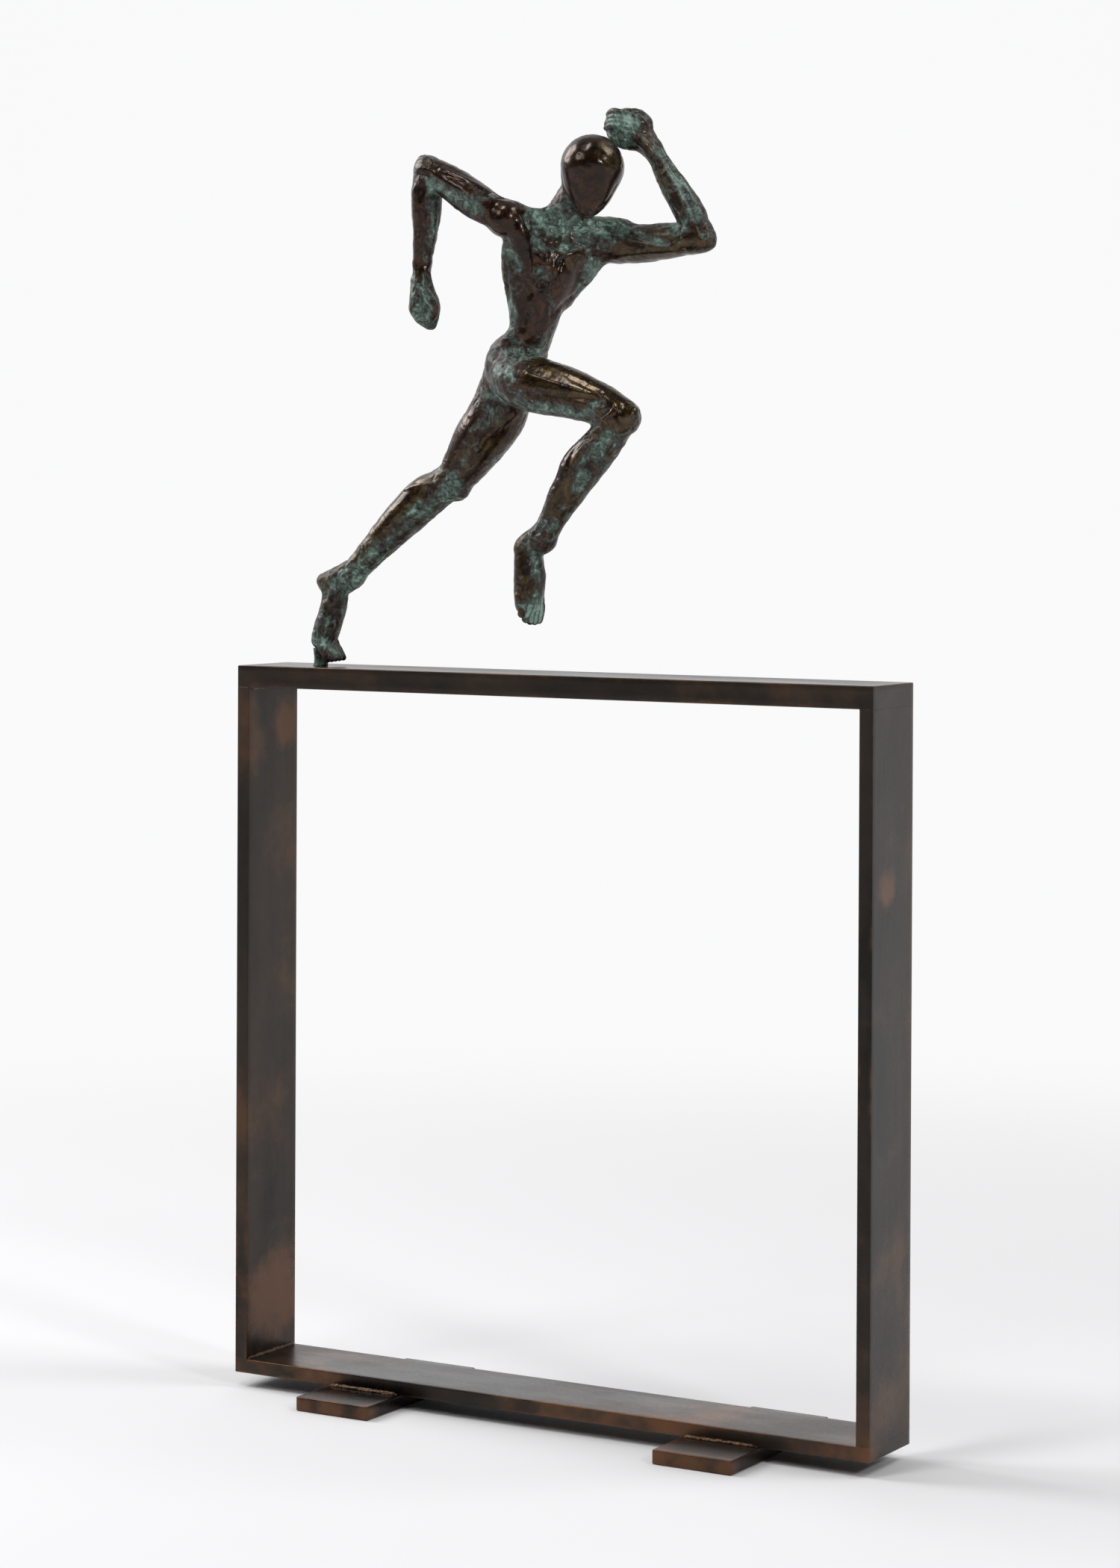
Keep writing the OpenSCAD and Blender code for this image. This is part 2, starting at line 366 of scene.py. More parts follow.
    def shade(self, **sockets: object) -> bpy.types.Material:
        """Ends the tree in a principled shader; spaces in socket names are written as underscores.

        Args:
            sockets: What goes into each of the shader's sockets.

        Returns:
            The finished material.
        """
        shader = self.tree.nodes.new("ShaderNodeBsdfPrincipled")
        for key, value in sockets.items():
            self.put(shader.inputs[key.replace("_", " ")], value)
        self.tree.links.new(shader.outputs[0], self.output.inputs["Surface"])
        return self.material


@dataclass(frozen=True)
class BronzePatina:
    """Cast bronze: waxed brown on the high places, blue-green in the hollows, with painted shade of
    near-black in the creases.
    """

    name: str = "figure_bronze"
    umber: Colour = (0.011, 0.0055, 0.003)
    chestnut: Colour = (0.066, 0.027, 0.0115)
    olive: Colour = (0.074, 0.05, 0.014)
    rubbed: Colour = (0.15, 0.095, 0.05)
    # Near-black used both for the black veins and as painted shade laid into the creases.
    black_vein_and_painted_shade: Colour = (0.0045, 0.004, 0.0035)
    moss: Colour = (0.024, 0.034, 0.026)
    green: Colour = (0.083, 0.14, 0.11)
    mint: Colour = (0.25, 0.37, 0.31)

    def material(self) -> bpy.types.Material:
        """Builds the node tree.

        Returns:
            The material.
        """
        s = Sheet(self.name)
        broad = s.noise(38, 3, 0.5)
        middle = s.noise(150, 5, 0.62, distortion=0.7)
        fine = s.noise(560, 5, 0.68)
        return s.shade(Base_Color=self.colour(s, broad, middle, fine), Roughness=self.gloss(s, fine),
                       Metallic=s.span(self.deposit(s, middle, fine), 0.1, 0.5, 0.7, 0.0),
                       Normal=self.relief(s, fine), Coat_Weight=0.16, Coat_Roughness=0.12)

    def deposit(self, s: Sheet, middle: bpy.types.NodeSocket,
                fine: bpy.types.NodeSocket) -> bpy.types.NodeSocket:
        """How much verdigris has gathered: about 0.5 where it starts to show, 1 where it is thick.

        Args:
            s: The material's nodes.
            middle: Noise the size of a tool mark.
            fine: Noise the size of a grain of patina.

        Returns:
            The amount's socket.
        """
        terms = (("hollow", 0.42), ("crease", 0.4), ("rake", 0.42), ("green", 0.55), ("haze", 0.16),
                 ("polish", -0.4))
        total = s.calc("MULTIPLY", s.calc("SUBTRACT", middle, 0.5), 3.0)
        total = s.calc("MULTIPLY_ADD", s.calc("SUBTRACT", fine, 0.5), 1.8, total)
        for name, share in terms:
            total = s.calc("MULTIPLY_ADD", s.value(name), share, total)
        return total

    def colour(self, s: Sheet, broad: bpy.types.NodeSocket, middle: bpy.types.NodeSocket,
               fine: bpy.types.NodeSocket) -> bpy.types.NodeSocket:
        """Brown metal, then a grey-green bloom, then painted shade of near-black in the creases, then
        verdigris, then mint where it lies thickest, and last black veins.

        Args:
            s: The material's nodes.
            broad: Noise over whole muscles.
            middle: Noise the size of a tool mark.
            fine: Noise the size of a grain of patina.

        Returns:
            The colour's socket.
        """
        mixed = s.calc("ADD", s.calc("MULTIPLY", broad, 0.55), s.calc("MULTIPLY", middle, 0.45))
        brown = s.ramp(mixed, ((0.38, self.umber), (0.66, self.chestnut)))
        gold = s.calc("MULTIPLY", s.value("gold"), s.span(middle, 0.36, 0.6))
        brown = s.blend(s.calc("MULTIPLY", gold, 0.7), brown, self.olive)
        grit = s.calc("MULTIPLY", s.calc("SUBTRACT", fine, 0.5), 0.8)
        worn = s.span(s.calc("ADD", s.value("ridge"), grit), 0.55, 1.15)
        brown = s.blend(s.calc("MULTIPLY", worn, 0.35), brown, self.rubbed)
        deep = self.deposit(s, middle, fine)
        shown = s.blend(s.span(deep, 0.15, 0.55), brown, self.moss)
        # Painted shade: near-black laid into the creases, where shade falls, broken up by the broad noise.
        shaded = s.calc("MULTIPLY", s.span(s.value("crease"), 0.35, 0.9), s.span(broad, 0.36, 0.5))
        shown = s.blend(s.calc("MULTIPLY", shaded, 0.8), shown, self.black_vein_and_painted_shade)
        shown = s.blend(s.span(deep, 0.5, 0.9), shown, self.green)
        shown = s.blend(s.span(deep, 0.95, 1.5), shown, self.mint)
        vein = s.calc("ABSOLUTE", s.calc("SUBTRACT", s.noise(95, 4, 0.6, distortion=1.6), 0.5), 0.0)
        vein = s.calc("MULTIPLY", s.span(vein, 0.0, 0.08, 0.85, 0.0), s.span(broad, 0.4, 0.54))
        return s.blend(vein, shown, self.black_vein_and_painted_shade)

    def gloss(self, s: Sheet, fine: bpy.types.NodeSocket) -> bpy.types.NodeSocket:
        """Roughness: satin where the wax is rubbed, dull in the green.

        Args:
            s: The material's nodes.
            fine: Noise the size of a grain of patina.

        Returns:
            The roughness's socket.
        """
        dull = s.calc("ADD", s.value("green"), s.calc("ADD", s.value("hollow"), s.value("haze")))
        base = s.span(s.calc("SUBTRACT", dull, s.value("polish")), -0.6, 1.2, 0.24, 0.58)
        return s.calc("MULTIPLY_ADD", s.calc("SUBTRACT", fine, 0.5), 0.3, base)

    def relief(self, s: Sheet, fine: bpy.types.NodeSocket) -> bpy.types.NodeSocket:
        """Small dents under a fine grit.

        Args:
            s: The material's nodes.
            fine: Noise the size of a grain of patina.

        Returns:
            The normal's socket.
        """
        rough = s.span(s.value("polish"), 0.0, 1.0, 1.0, 0.22)
        soft = s.bump(s.calc("MULTIPLY", s.noise(240, 4, 0.6, distortion=0.9), rough), 0.6, 0.0008)
        grit = s.calc("ADD", s.calc("MULTIPLY", fine, 0.6), s.calc("MULTIPLY", s.noise(1500, 3, 0.6), 0.4))
        return s.bump(s.calc("MULTIPLY", grit, rough), 0.45, 0.00028, soft)


@dataclass(frozen=True)
class DarkBar:
    """Flat bar under a near-black brown patina, rubbed to copper brown in places and along its edges."""

    name: str
    along: Point
    wear: float = 0.5
    clouds: float = 0.3
    black: Colour = (0.009, 0.0068, 0.0052)
    brown: Colour = (0.05, 0.034, 0.024)
    copper: Colour = (0.14, 0.062, 0.028)
    bare: Colour = (0.34, 0.27, 0.2)

    def material(self) -> bpy.types.Material:
        """Builds the node tree.

        Returns:
            The material.
        """
        s = Sheet(self.name)
        streak = s.noise(26, 5, 0.6, s.stretched(self.along))
        cloud = s.noise(16, 4, 0.6)
        fine = s.noise(420, 4, 0.6)
        middle = s.calc("SUBTRACT", s.noise(60, 5, 0.65), 0.5)
        base = s.ramp(s.calc("ADD", s.calc("MULTIPLY", streak, 0.6), s.calc("MULTIPLY", cloud, 0.4)),
                      ((0.38, self.black), (0.64, self.brown)))
        edge = s.calc("MULTIPLY", s.value("edge"), s.span(s.noise(13, 3), 0.38, 0.62, 0.15, 1.0))
        rub = s.calc("ADD", edge, s.calc("MULTIPLY", middle, 1.4))
        base = s.blend(s.calc("MULTIPLY", s.span(rub, 0.5, 1.15), self.wear), base, self.copper)
        patch = s.calc("ADD", s.value("rubbed"), s.calc("MULTIPLY", middle, 1.2))
        base = s.blend(s.calc("MULTIPLY", s.span(patch, 0.3, 0.9), 0.7), base, self.copper)
        base = s.blend(s.calc("MULTIPLY", s.span(cloud, 0.52, 0.72), self.clouds), base, self.copper)
        speck = s.calc("MULTIPLY", s.span(s.cells(85), 0.05, 0.02), s.span(s.noise(30, 2), 0.56, 0.64))
        base = s.blend(speck, base, self.bare)
        grit = s.calc("MULTIPLY", s.calc("SUBTRACT", fine, 0.5), 0.14)
        gloss = s.calc("ADD", s.span(streak, 0.3, 0.7, 0.24, 0.4), grit)
        relief = s.bump(s.noise(45, 3, 0.5, s.stretched(self.along)), 0.25, 0.0008)
        return s.shade(Base_Color=base, Roughness=gloss, Metallic=0.75,
                       Normal=s.bump(fine, 0.18, 0.0002, relief),
                       Coat_Weight=0.1, Coat_Roughness=0.22)


@dataclass(frozen=True)
class WeldMetal:
    """Dressed weld: coarse copper-brown metal with dark pits and a few pale specks."""

    name: str = "weld_metal"
    dark: Colour = (0.02, 0.014, 0.01)
    copper: Colour = (0.15, 0.075, 0.035)
    speck: Colour = (0.42, 0.37, 0.3)

    def material(self) -> bpy.types.Material:
        """Builds the node tree.

        Returns:
            The material.
        """
        s = Sheet(self.name)
        lump = s.noise(320, 5, 0.65)
        colour = s.ramp(lump, ((0.35, self.dark), (0.65, self.copper)))
        colour = s.blend(s.span(s.noise(700, 3, 0.6), 0.66, 0.72), colour, self.speck)
        return s.shade(Base_Color=colour, Roughness=s.span(lump, 0.3, 0.7, 0.32, 0.6), Metallic=0.6,
                       Normal=s.bump(s.noise(900, 4, 0.6), 0.5, 0.0003))


@dataclass(frozen=True)
class PlainSteel:
    """Turned steel of the hidden fixings: fine lathe lines and a little dullness."""

    name: str = "plain_steel"
    bright: Colour = (0.42, 0.41, 0.39)
    dull: Colour = (0.2, 0.19, 0.18)

    def material(self) -> bpy.types.Material:
        """Builds the node tree.

        Returns:
            The material.
        """
        s = Sheet(self.name)
        lines = s.noise(900, 2, 0.5, s.stretched((0.2, 0.2, 4.0)))
        stain = s.noise(180, 4, 0.6)
        colour = s.blend(s.span(stain, 0.4, 0.7), self.bright, self.dull)
        return s.shade(Base_Color=colour, Roughness=s.span(stain, 0.3, 0.7, 0.26, 0.48), Metallic=1.0,
                       Normal=s.bump(lines, 0.2, 0.0001))


@dataclass(frozen=True)
class PaleFloor:
    """Matte white floor that fades into the light around it, so no horizon shows."""

    name: str = "pale_floor"
    near: Colour = (0.735, 0.73, 0.74)
    far: Colour = (0.955, 0.955, 0.9646)
    fade_from: float = 0.25
    fade_to: float = 1.5

    def material(self) -> bpy.types.Material:
        """Builds the node tree.

        Returns:
            The material.
        """
        s = Sheet(self.name)
        length = s.tree.nodes.new("ShaderNodeVectorMath")
        length.operation = "LENGTH"
        s.put(length.inputs[0], s.where)
        share = s.span(length.outputs["Value"], self.fade_from, self.fade_to)
        matte = s.tree.nodes.new("ShaderNodeBsdfPrincipled")
        matte.inputs["Base Color"].default_value = (*self.near, 1.0)
        matte.inputs["Roughness"].default_value = 0.85
        matte.inputs["Specular IOR Level"].default_value = 0.2
        glow = s.tree.nodes.new("ShaderNodeEmission")
        glow.inputs["Color"].default_value = (*self.far, 1.0)
        mix = s.tree.nodes.new("ShaderNodeMixShader")
        s.put(mix.inputs[0], share)
        s.tree.links.new(matte.outputs[0], mix.inputs[1])
        s.tree.links.new(glow.outputs[0], mix.inputs[2])
        s.tree.links.new(mix.outputs[0], s.output.inputs["Surface"])
        return s.material


# ---------------------------------------------------------------- clay


class ClayField:
    """A solid kept as distances on a grid, in millimetres: negative inside, positive outside."""

    def __init__(self, low: Point, high: Point, step: float) -> None:
        """Starts with nothing inside.

        Args:
            low: Lowest corner of the grid.
            high: Highest corner.
            step: Distance between grid points.
        """
        self.low, self.step = np.array(low, np.float32), step
        counts = np.ceil((np.array(high) - self.low) / step).astype(int) + 1
        self.values = np.full(tuple(counts), FAR, np.float32)

    def window(self, low: np.ndarray, high: np.ndarray) -> tuple[tuple[slice, ...], list[np.ndarray]]:
        """The part of the grid between two corners, with its coordinates on each axis.

        Args:
            low: Lowest corner, in millimetres.
            high: Highest corner.

        Returns:
            The slices of the part, and its coordinates, shaped to combine with each other.
        """
        first = np.maximum(np.floor((low - self.low) / self.step).astype(int), 0)
        last = np.minimum(np.ceil((high - self.low) / self.step).astype(int) + 1, self.values.shape)
        last = np.maximum(last, first + 1)
        where = tuple(slice(int(a), int(b)) for a, b in zip(first, last))
        axes = [self.low[i] + self.step * np.arange(first[i], last[i], dtype=np.float32) for i in range(3)]
        return where, [axes[0][:, None, None], axes[1][None, :, None], axes[2][None, None, :]]

    def join(self, where: tuple[slice, ...], distance: np.ndarray, blend: float) -> None:
        """Adds a form, rounding the inside corner that it makes by about blend millimetres.

        Args:
            where: Slices of the part of the grid that it lies in.
            distance: Distance to the form at each point there.
            blend: Size of the rounding.
        """
        old = self.values[where]
        near = np.maximum(blend - np.abs(old - distance), 0.0) / blend
        self.values[where] = np.minimum(old, distance) - near * near * blend * 0.25

    def limb(self, stations: Sequence[Sequence[float]], blend: float = 3.0, margin: float = 9.0) -> None:
        """Adds a rounded limb along a smooth curve.

        Args:
            stations: Rows of x, y, z, radius and, if it isn't 1, depth along Y against the radius.
            blend: Rounding where it meets what is there.
            margin: How far out distances are kept.
        """
        rows = eased([(*row, 1.0)[:5] for row in stations])
        reach = rows[:, 3].max() * rows[:, 4].max() + margin
        where, (x, y, z) = self.window(rows[:, :3].min(0) - reach, rows[:, :3].max(0) + reach)
        best = np.full(np.broadcast_shapes(x.shape, y.shape, z.shape), FAR, np.float32)
        for a, b in zip(rows, rows[1:]):
            run = b[:3] - a[:3]
            length = max(float(run @ run), 1e-6)
            along = np.clip(((x - a[0]) * run[0] + (y - a[1]) * run[1] + (z - a[2]) * run[2]) / length, 0, 1)
            deep = a[4] + (b[4] - a[4]) * along
            off = ((x - a[0] - run[0] * along) ** 2 + ((y - a[1] - run[1] * along) / deep) ** 2
                   + (z - a[2] - run[2] * along) ** 2)
            np.minimum(best, np.sqrt(off) - (a[3] + (b[3] - a[3]) * along), out=best)
        self.join(where, best, blend)

    def mass(self, centre: Point, half: Point, turn: Point = (0, 0, 0), blend: float = 4.0,
             margin: float = 9.0) -> None:
        """Adds an oval mass.

        Args:
            centre: Its middle.
            half: Half sizes along its own axes.
            turn: Degrees about X, then Y, then Z.
            blend: Rounding where it meets what is there.
            margin: How far out distances are kept.
        """
        middle, reach = np.array(centre, float), max(half) + margin
        where, (x, y, z) = self.window(middle - reach, middle + reach)
        back = turned(turn).T
        own = [back[i, 0] * (x - centre[0]) + back[i, 1] * (y - centre[1]) + back[i, 2] * (z - centre[2])
               for i in range(3)]
        near = np.sqrt(sum((o / h) ** 2 for o, h in zip(own, half)))
        slope = np.sqrt(sum((o / h**2) ** 2 for o, h in zip(own, half)))
        self.join(where, (near * (near - 1) / np.maximum(slope, 1e-6)).astype(np.float32), blend)

    def stroke(self, path: Sequence[Point], width: float, depth: float) -> None:
        """Presses a soft groove along a path on the surface, or raises a ridge if depth is negative.

        Args:
            path: Points to pass through.
            width: Half width of the groove.
            depth: How deep its middle is.
        """
        rows = eased(path, 3) if len(path) > 1 else np.array([path[0], path[0]], float)
        reach = width * 2.6
        where, (x, y, z) = self.window(rows.min(0) - reach, rows.max(0) + reach)
        best = np.full(np.broadcast_shapes(x.shape, y.shape, z.shape), 1e6, np.float32)
        for a, b in zip(rows, rows[1:]):
            run = b - a
            length = max(float(run @ run), 1e-6)
            along = np.clip(((x - a[0]) * run[0] + (y - a[1]) * run[1] + (z - a[2]) * run[2]) / length, 0, 1)
            off = ((x - a[0] - run[0] * along) ** 2 + (y - a[1] - run[1] * along) ** 2
                   + (z - a[2] - run[2] * along) ** 2)
            np.minimum(best, off, out=best)
        self.values[where] += depth * np.exp(-best / width**2)

    def at(self, points: np.ndarray) -> np.ndarray:
        """Distances at points between the grid's own.

        Args:
            points: Array of shape (n, 3).

        Returns:
            Array of n distances.
        """
        scaled = (points - self.low) / self.step
        cell = np.clip(np.floor(scaled).astype(np.int64), 0, np.array(self.values.shape) - 2)
        part = np.clip(scaled - cell, 0, 1)
        total = np.zeros(len(points), np.float32)
        for corner in range(8):
            step = np.array([corner & 1, corner >> 1 & 1, corner >> 2 & 1])
            share = np.prod(np.where(step == 1, part, 1 - part), axis=1)
            at = cell + step
            total += share * self.values[at[:, 0], at[:, 1], at[:, 2]]
        return total

    def smooth(self) -> None:
        """Evens out the faint kinks between neighbouring rings of the limbs."""
        for axis in range(3):
            beside = np.roll(self.values, 1, axis) + np.roll(self.values, -1, axis)
            self.values = (0.5 * self.values + 0.25 * beside).astype(np.float32)

    def skin(self) -> tuple[np.ndarray, np.ndarray]:
        """The surface where the distance is nought.

        Returns:
            Vertices in millimetres, and quads that face outward.
        """
        grid = openvdb.FloatGrid()
        grid.background = 2.0
        grid.copyFromArray(np.clip(self.values, -2.0, 2.0), tolerance=1e-4)
        points, _, quads = grid.convertToPolygons(isovalue=0.0, adaptivity=0.0)
        return points * self.step + self.low, quads.astype(np.int64)


# ---------------------------------------------------------------- the runner's forms


@dataclass
class Trunk:
    """Pelvis, belly, rib cage, shoulders and neck."""

    chest_turn: Point = (0, 18, -38)

    def build(self, clay: ClayField) -> None:
        """Adds the trunk's masses, then its creases.

        Args:
            clay: The figure's clay.
        """
        clay.limb([(134, -2, 176, 14.2, 1.1), (143.5, -4, 190, 12.4, 1.1), (146.5, -4, 205, 15, 1),
                   (150, -3, 222, 18.6, 1)], 5)
        clay.mass((132, -1, 174), (16, 17, 15), (0, 24, 8), 5)
        clay.mass((150.5, -3, 226), (16, 22.5, 22), self.chest_turn, 5)
        clay.mass((154, -3, 238), (13.5, 26, 14), self.chest_turn, 5)
        clay.limb([(141, -9, 210, 8), (141, -13.5, 231, 8.8), (143, -16, 246, 8)], 4)
        clay.limb([(157, 6, 212, 8), (167.5, 14, 230, 9.6), (174, 18, 240, 10)], 4)
        clay.limb([(156, -3, 250, 9), (147, -14, 250.5, 9.2), (138, -23, 253, 10)], 4)
        clay.limb([(156, -3, 250, 9), (169, 10, 244.5, 10.5), (184, 21.5, 242, 12)], 4)
        clay.limb([(155, -3, 244, 10.6), (162, -4, 254, 8.4), (168.5, -4, 264, 7.8)], 4)
        self.muscles(clay)
        self.creases(clay)

    def muscles(self, clay: ClayField) -> None:
        """Raises what stands proud of the trunk.

        Args:
            clay: The figure's clay.
        """
        clay.limb([(144, -22, 257, 5), (146.5, -24, 248, 6.6), (149.5, -21, 236, 6), (151, -18.5, 226, 4.4),
                   (151, -18, 218, 2.4)], 2.5)
        clay.mass((164.5, -2, 233), (7.5, 13, 8.5), self.chest_turn, 3)
        clay.mass((160.5, -10, 222), (5.5, 7, 8), self.chest_turn, 3)
        clay.limb([(162, -14, 250, 1.8), (170, -7.5, 251, 2.4), (178, 4, 251.5, 3)], 3)
        clay.limb([(152, -18.5, 257, 2.2), (158, -15, 257, 2.2), (164, -12, 258, 2.4)], 3)
        clay.stroke([(170, -13, 264), (166, -14, 256), (162, -15, 251)], 1.8, -1.2)
        clay.stroke([(176, -10.5, 259), (171, -9, 254), (166, -11, 251)], 1.6, -0.9)
        clay.mass((135.4, -13.6, 185), (4.6, 4.6, 6), (0, 20, 0), 2.5)
        clay.mass((139, -2, 237), (5, 7, 10), self.chest_turn, 4)
        clay.mass((152, 13, 235), (5, 7, 10), self.chest_turn, 4)
        clay.stroke([(157.6, -19.4, 232), (161.6, -16.6, 229), (164.6, -12.4, 231)], 1.5, -1.3)
        clay.stroke([(154.6, -21, 216), (158, -18.4, 213.4), (162.4, -16, 215.4)], 1.4, -1.2)
        clay.stroke([(152, -19, 206), (150.6, -18, 196), (149, -17.6, 187)], 3.6, -1.1)
        clay.stroke([(159, -12, 204), (156.6, -11, 195), (154.6, -11, 187)], 3.2, -0.9)

    def creases(self, clay: ClayField) -> None:
        """Presses the hollows between the trunk's masses.

        Args:
            clay: The figure's clay.
        """
        clay.stroke([(149, -20, 258), (151.5, -24, 252), (152, -22.5, 245), (154, -22.4, 237),
                     (155.6, -21.4, 229), (156, -21, 221), (153.6, -20.4, 212)], 1.25, 1.9)
        clay.stroke([(156, -17, 252), (160.6, -14, 251.6), (164, -12, 247)], 2.6, 1.8)
        clay.stroke([(159, -17, 243)], 2.1, 2.3)
        clay.stroke([(162.6, -13.6, 244)], 1.7, 2.0)
        clay.stroke([(157.6, -18.6, 238), (160.6, -17, 234)], 1.8, 1.6)
        clay.stroke([(167, -8.6, 248), (172, -2, 247.6), (178, 7, 247)], 1.6, 1.5)
        clay.stroke([(163.6, -13.4, 237), (167.4, -8, 235), (171.4, -4, 238.6), (175, 3, 241.4)], 1.4, 1.7)
        clay.stroke([(167, -8, 233), (166.4, -12, 227), (165.6, -14, 220)], 1.3, 1.3)
        clay.stroke([(160, -18.4, 219.4)], 3.2, 2.6)
        clay.stroke([(161, -15.6, 211.6), (161.4, -12.6, 206), (161, -9.6, 201)], 1.4, 1.4)
        clay.stroke([(160.6, -8, 200), (163.6, -1.6, 206), (166.6, 5, 211), (171, 9.6, 219)], 1.8, 1.4)
        clay.stroke([(150, -20.6, 212), (148.6, -19.6, 200), (147, -18.8, 192)], 1.5, 1.3)
        clay.stroke([(143, -24, 236), (146.4, -24, 227), (147.6, -21.4, 216)], 1.4, 1.0)
        clay.stroke([(138, -18.6, 240), (142, -23, 233)], 2.6, 1.6)
        clay.stroke([(138.6, -21, 222), (137, -17, 211), (138, -17, 201), (139, -17.6, 193)], 2.2, 1.0)
        clay.stroke([(140.4, -22, 179), (149.6, -23.6, 177), (156, -19.6, 177.6)], 2.0, 2.4)
        clay.stroke([(140.6, -20.6, 190), (141.6, -20.6, 183)], 1.8, 1.3)
        clay.stroke([(144, 6, 247), (140, 7, 230), (135, 6, 208), (131, 5, 192), (121, 6, 176)], 2.6, 1.9)
        clay.stroke([(119, -3, 168), (120, -4, 158), (126, -5, 152)], 2.2, 2.4)
        clay.stroke([(132, -19, 180), (133.6, -24.4, 172), (134.6, -27.4, 165), (138, -27.4, 156)], 1.7, 1.4)
        clay.stroke([(140, -29.6, 169), (146, -31.4, 166), (151, -31.4, 161)], 1.8, 1.2)
        clay.stroke([(143, -31.4, 161), (149, -31.4, 157)], 1.8, 1.1)


@dataclass
class Mask:
    """The head: a smooth egg with no features, its face plane ending in an edge line."""

    def build(self, clay: ClayField) -> None:
        """Adds the head.

        Args:
            clay: The figure's clay.
        """
        clay.mass((181.6, -2, 282.2), (17.3, 18, 17.6), (0, 8, 0), 2)
        clay.limb([(181.6, -2, 280, 16.4), (181, -4.5, 269, 13.4, 0.96), (181.4, -8.4, 258.6, 6)], 3)
        clay.limb([(177, -2, 278, 12), (171.5, -4, 267, 8), (162, -4, 254, 8.2)], 3)
        clay.stroke([(167.6, -13, 277), (169.6, -14, 270), (174.4, -14.6, 262.4), (180, -12.6, 254.6)],
                    0.95, 1.2)
        clay.stroke([(180, -12.6, 254.6), (187, -9, 257.6), (192.6, -4, 263.6), (196.4, -1, 271)], 0.95, 0.8)
        clay.stroke([(183, -19, 293.6), (185, -18.8, 292.4)], 1.3, 0.7)
        clay.stroke([(182, -20.6, 287), (185.4, -20.6, 285.6)], 1.2, 0.6)
        clay.stroke([(182.4, -21.2, 277.4), (185.6, -21, 278.6)], 1.2, 0.7)
        clay.stroke([(174.6, -17, 292), (178, -18, 296), (183, -17, 298)], 1.6, -0.35)
        clay.stroke([(193, -14, 288), (196, -11, 283)], 1.8, 0.35)


@dataclass
class TrailingArm:
    """The arm that swings back, its elbow high and its forearm hanging."""

    def build(self, clay: ClayField) -> None:
        """Adds the arm.

        Args:
            clay: The figure's clay.
        """
        clay.limb([(144, -17, 251.5, 9.2), (133, -26, 257, 9.2), (120, -28, 264.5, 10.2),
                   (106, -28, 273.5, 9.6), (92, -28, 280.5, 8)], 3)
        clay.limb([(96, -28, 279, 7.5), (89.5, -28, 283, 6.6), (86.4, -28, 287.4, 3)], 2.5)
        clay.limb([(90.2, -28, 281, 7.6), (89.2, -28, 265, 8.7), (88.6, -28, 247, 7.3), (86.6, -28, 232, 5.6),
                   (86, -28, 221, 5.2)], 2.5)
        clay.mass((139.6, -26.4, 252.6), (10, 9.2, 10.2), (0, 0, 0), 1.6)
        self.fist(clay)
        clay.stroke([(130, -33, 259), (133, -31, 264), (140, -26, 264.6)], 1.5, 1.7)
        clay.stroke([(129.6, -34, 256), (131, -35, 249), (134, -33, 244)], 1.4, 1.4)
        clay.stroke([(97, -36.5, 276), (109, -37.6, 269.6), (121, -38, 263), (128.6, -35.6, 257)], 1.7, 2.0)
        clay.stroke([(97, -31, 267.6), (109, -34, 261.6), (120, -35, 256.6), (130, -33, 251.6)], 1.3, 1.2)
        clay.stroke([(104, -36, 281), (116, -35.4, 276), (128, -32, 269)], 1.8, -0.9)
        clay.stroke([(108, -37, 277.4), (119, -36, 273.6)], 1.2, 0.5)
        clay.stroke([(89, -36.5, 279), (96, -36.6, 278)], 1.7, 1.4)
        clay.stroke([(96.4, -34, 268), (94.6, -34, 262), (94, -33.6, 247), (91.4, -32, 228)], 1.4, 1.2)
        clay.stroke([(91, -36.5, 266), (90.6, -35.6, 252), (89, -34.4, 232)], 2.0, -0.5)
        clay.stroke([(84.4, -32, 270), (83.6, -32, 250), (83, -31, 232)], 1.3, 0.8)

    def fist(self, clay: ClayField) -> None:
        """Adds the closed hand: a wedge of palm with one finger curled round a hole.

        Args:
            clay: The figure's clay.
        """
        clay.limb([(86.2, -28, 222, 5.2), (86.8, -28, 213, 7.2, 1), (88.6, -28, 204, 8.6, 0.95),
                   (92, -28, 195.6, 3.8)], 2)
        clay.mass((84.6, -28, 205), (4.6, 6.4, 6), (0, 12, 0), 1.5)
        clay.limb([(88, -33.4, 216, 1.6), (95.4, -33.6, 209.6, 2.2), (98.2, -33, 202.4, 2.4),
                   (94.4, -33.6, 196.6, 2.1),
                   (88.6, -34.6, 197.4, 2.1), (85, -34.6, 203, 2.2), (85.4, -34.4, 210, 1.9)], 1.0)
        clay.stroke([(91.8, -36, 203.4), (91.2, -36.4, 200.4)], 2.0, 3.2)
        clay.stroke([(87.6, -35.4, 215), (90.6, -35.6, 209)], 1.2, 1.2)
        clay.stroke([(97.4, -31.4, 211), (101, -29, 203)], 1.0, 0.8)
        clay.stroke([(81.4, -31, 208), (84, -31, 197.6)], 1.0, 0.9)
        clay.stroke([(82.6, -31, 223), (88, -34, 219.4), (91.6, -31, 218)], 1.3, 0.8)


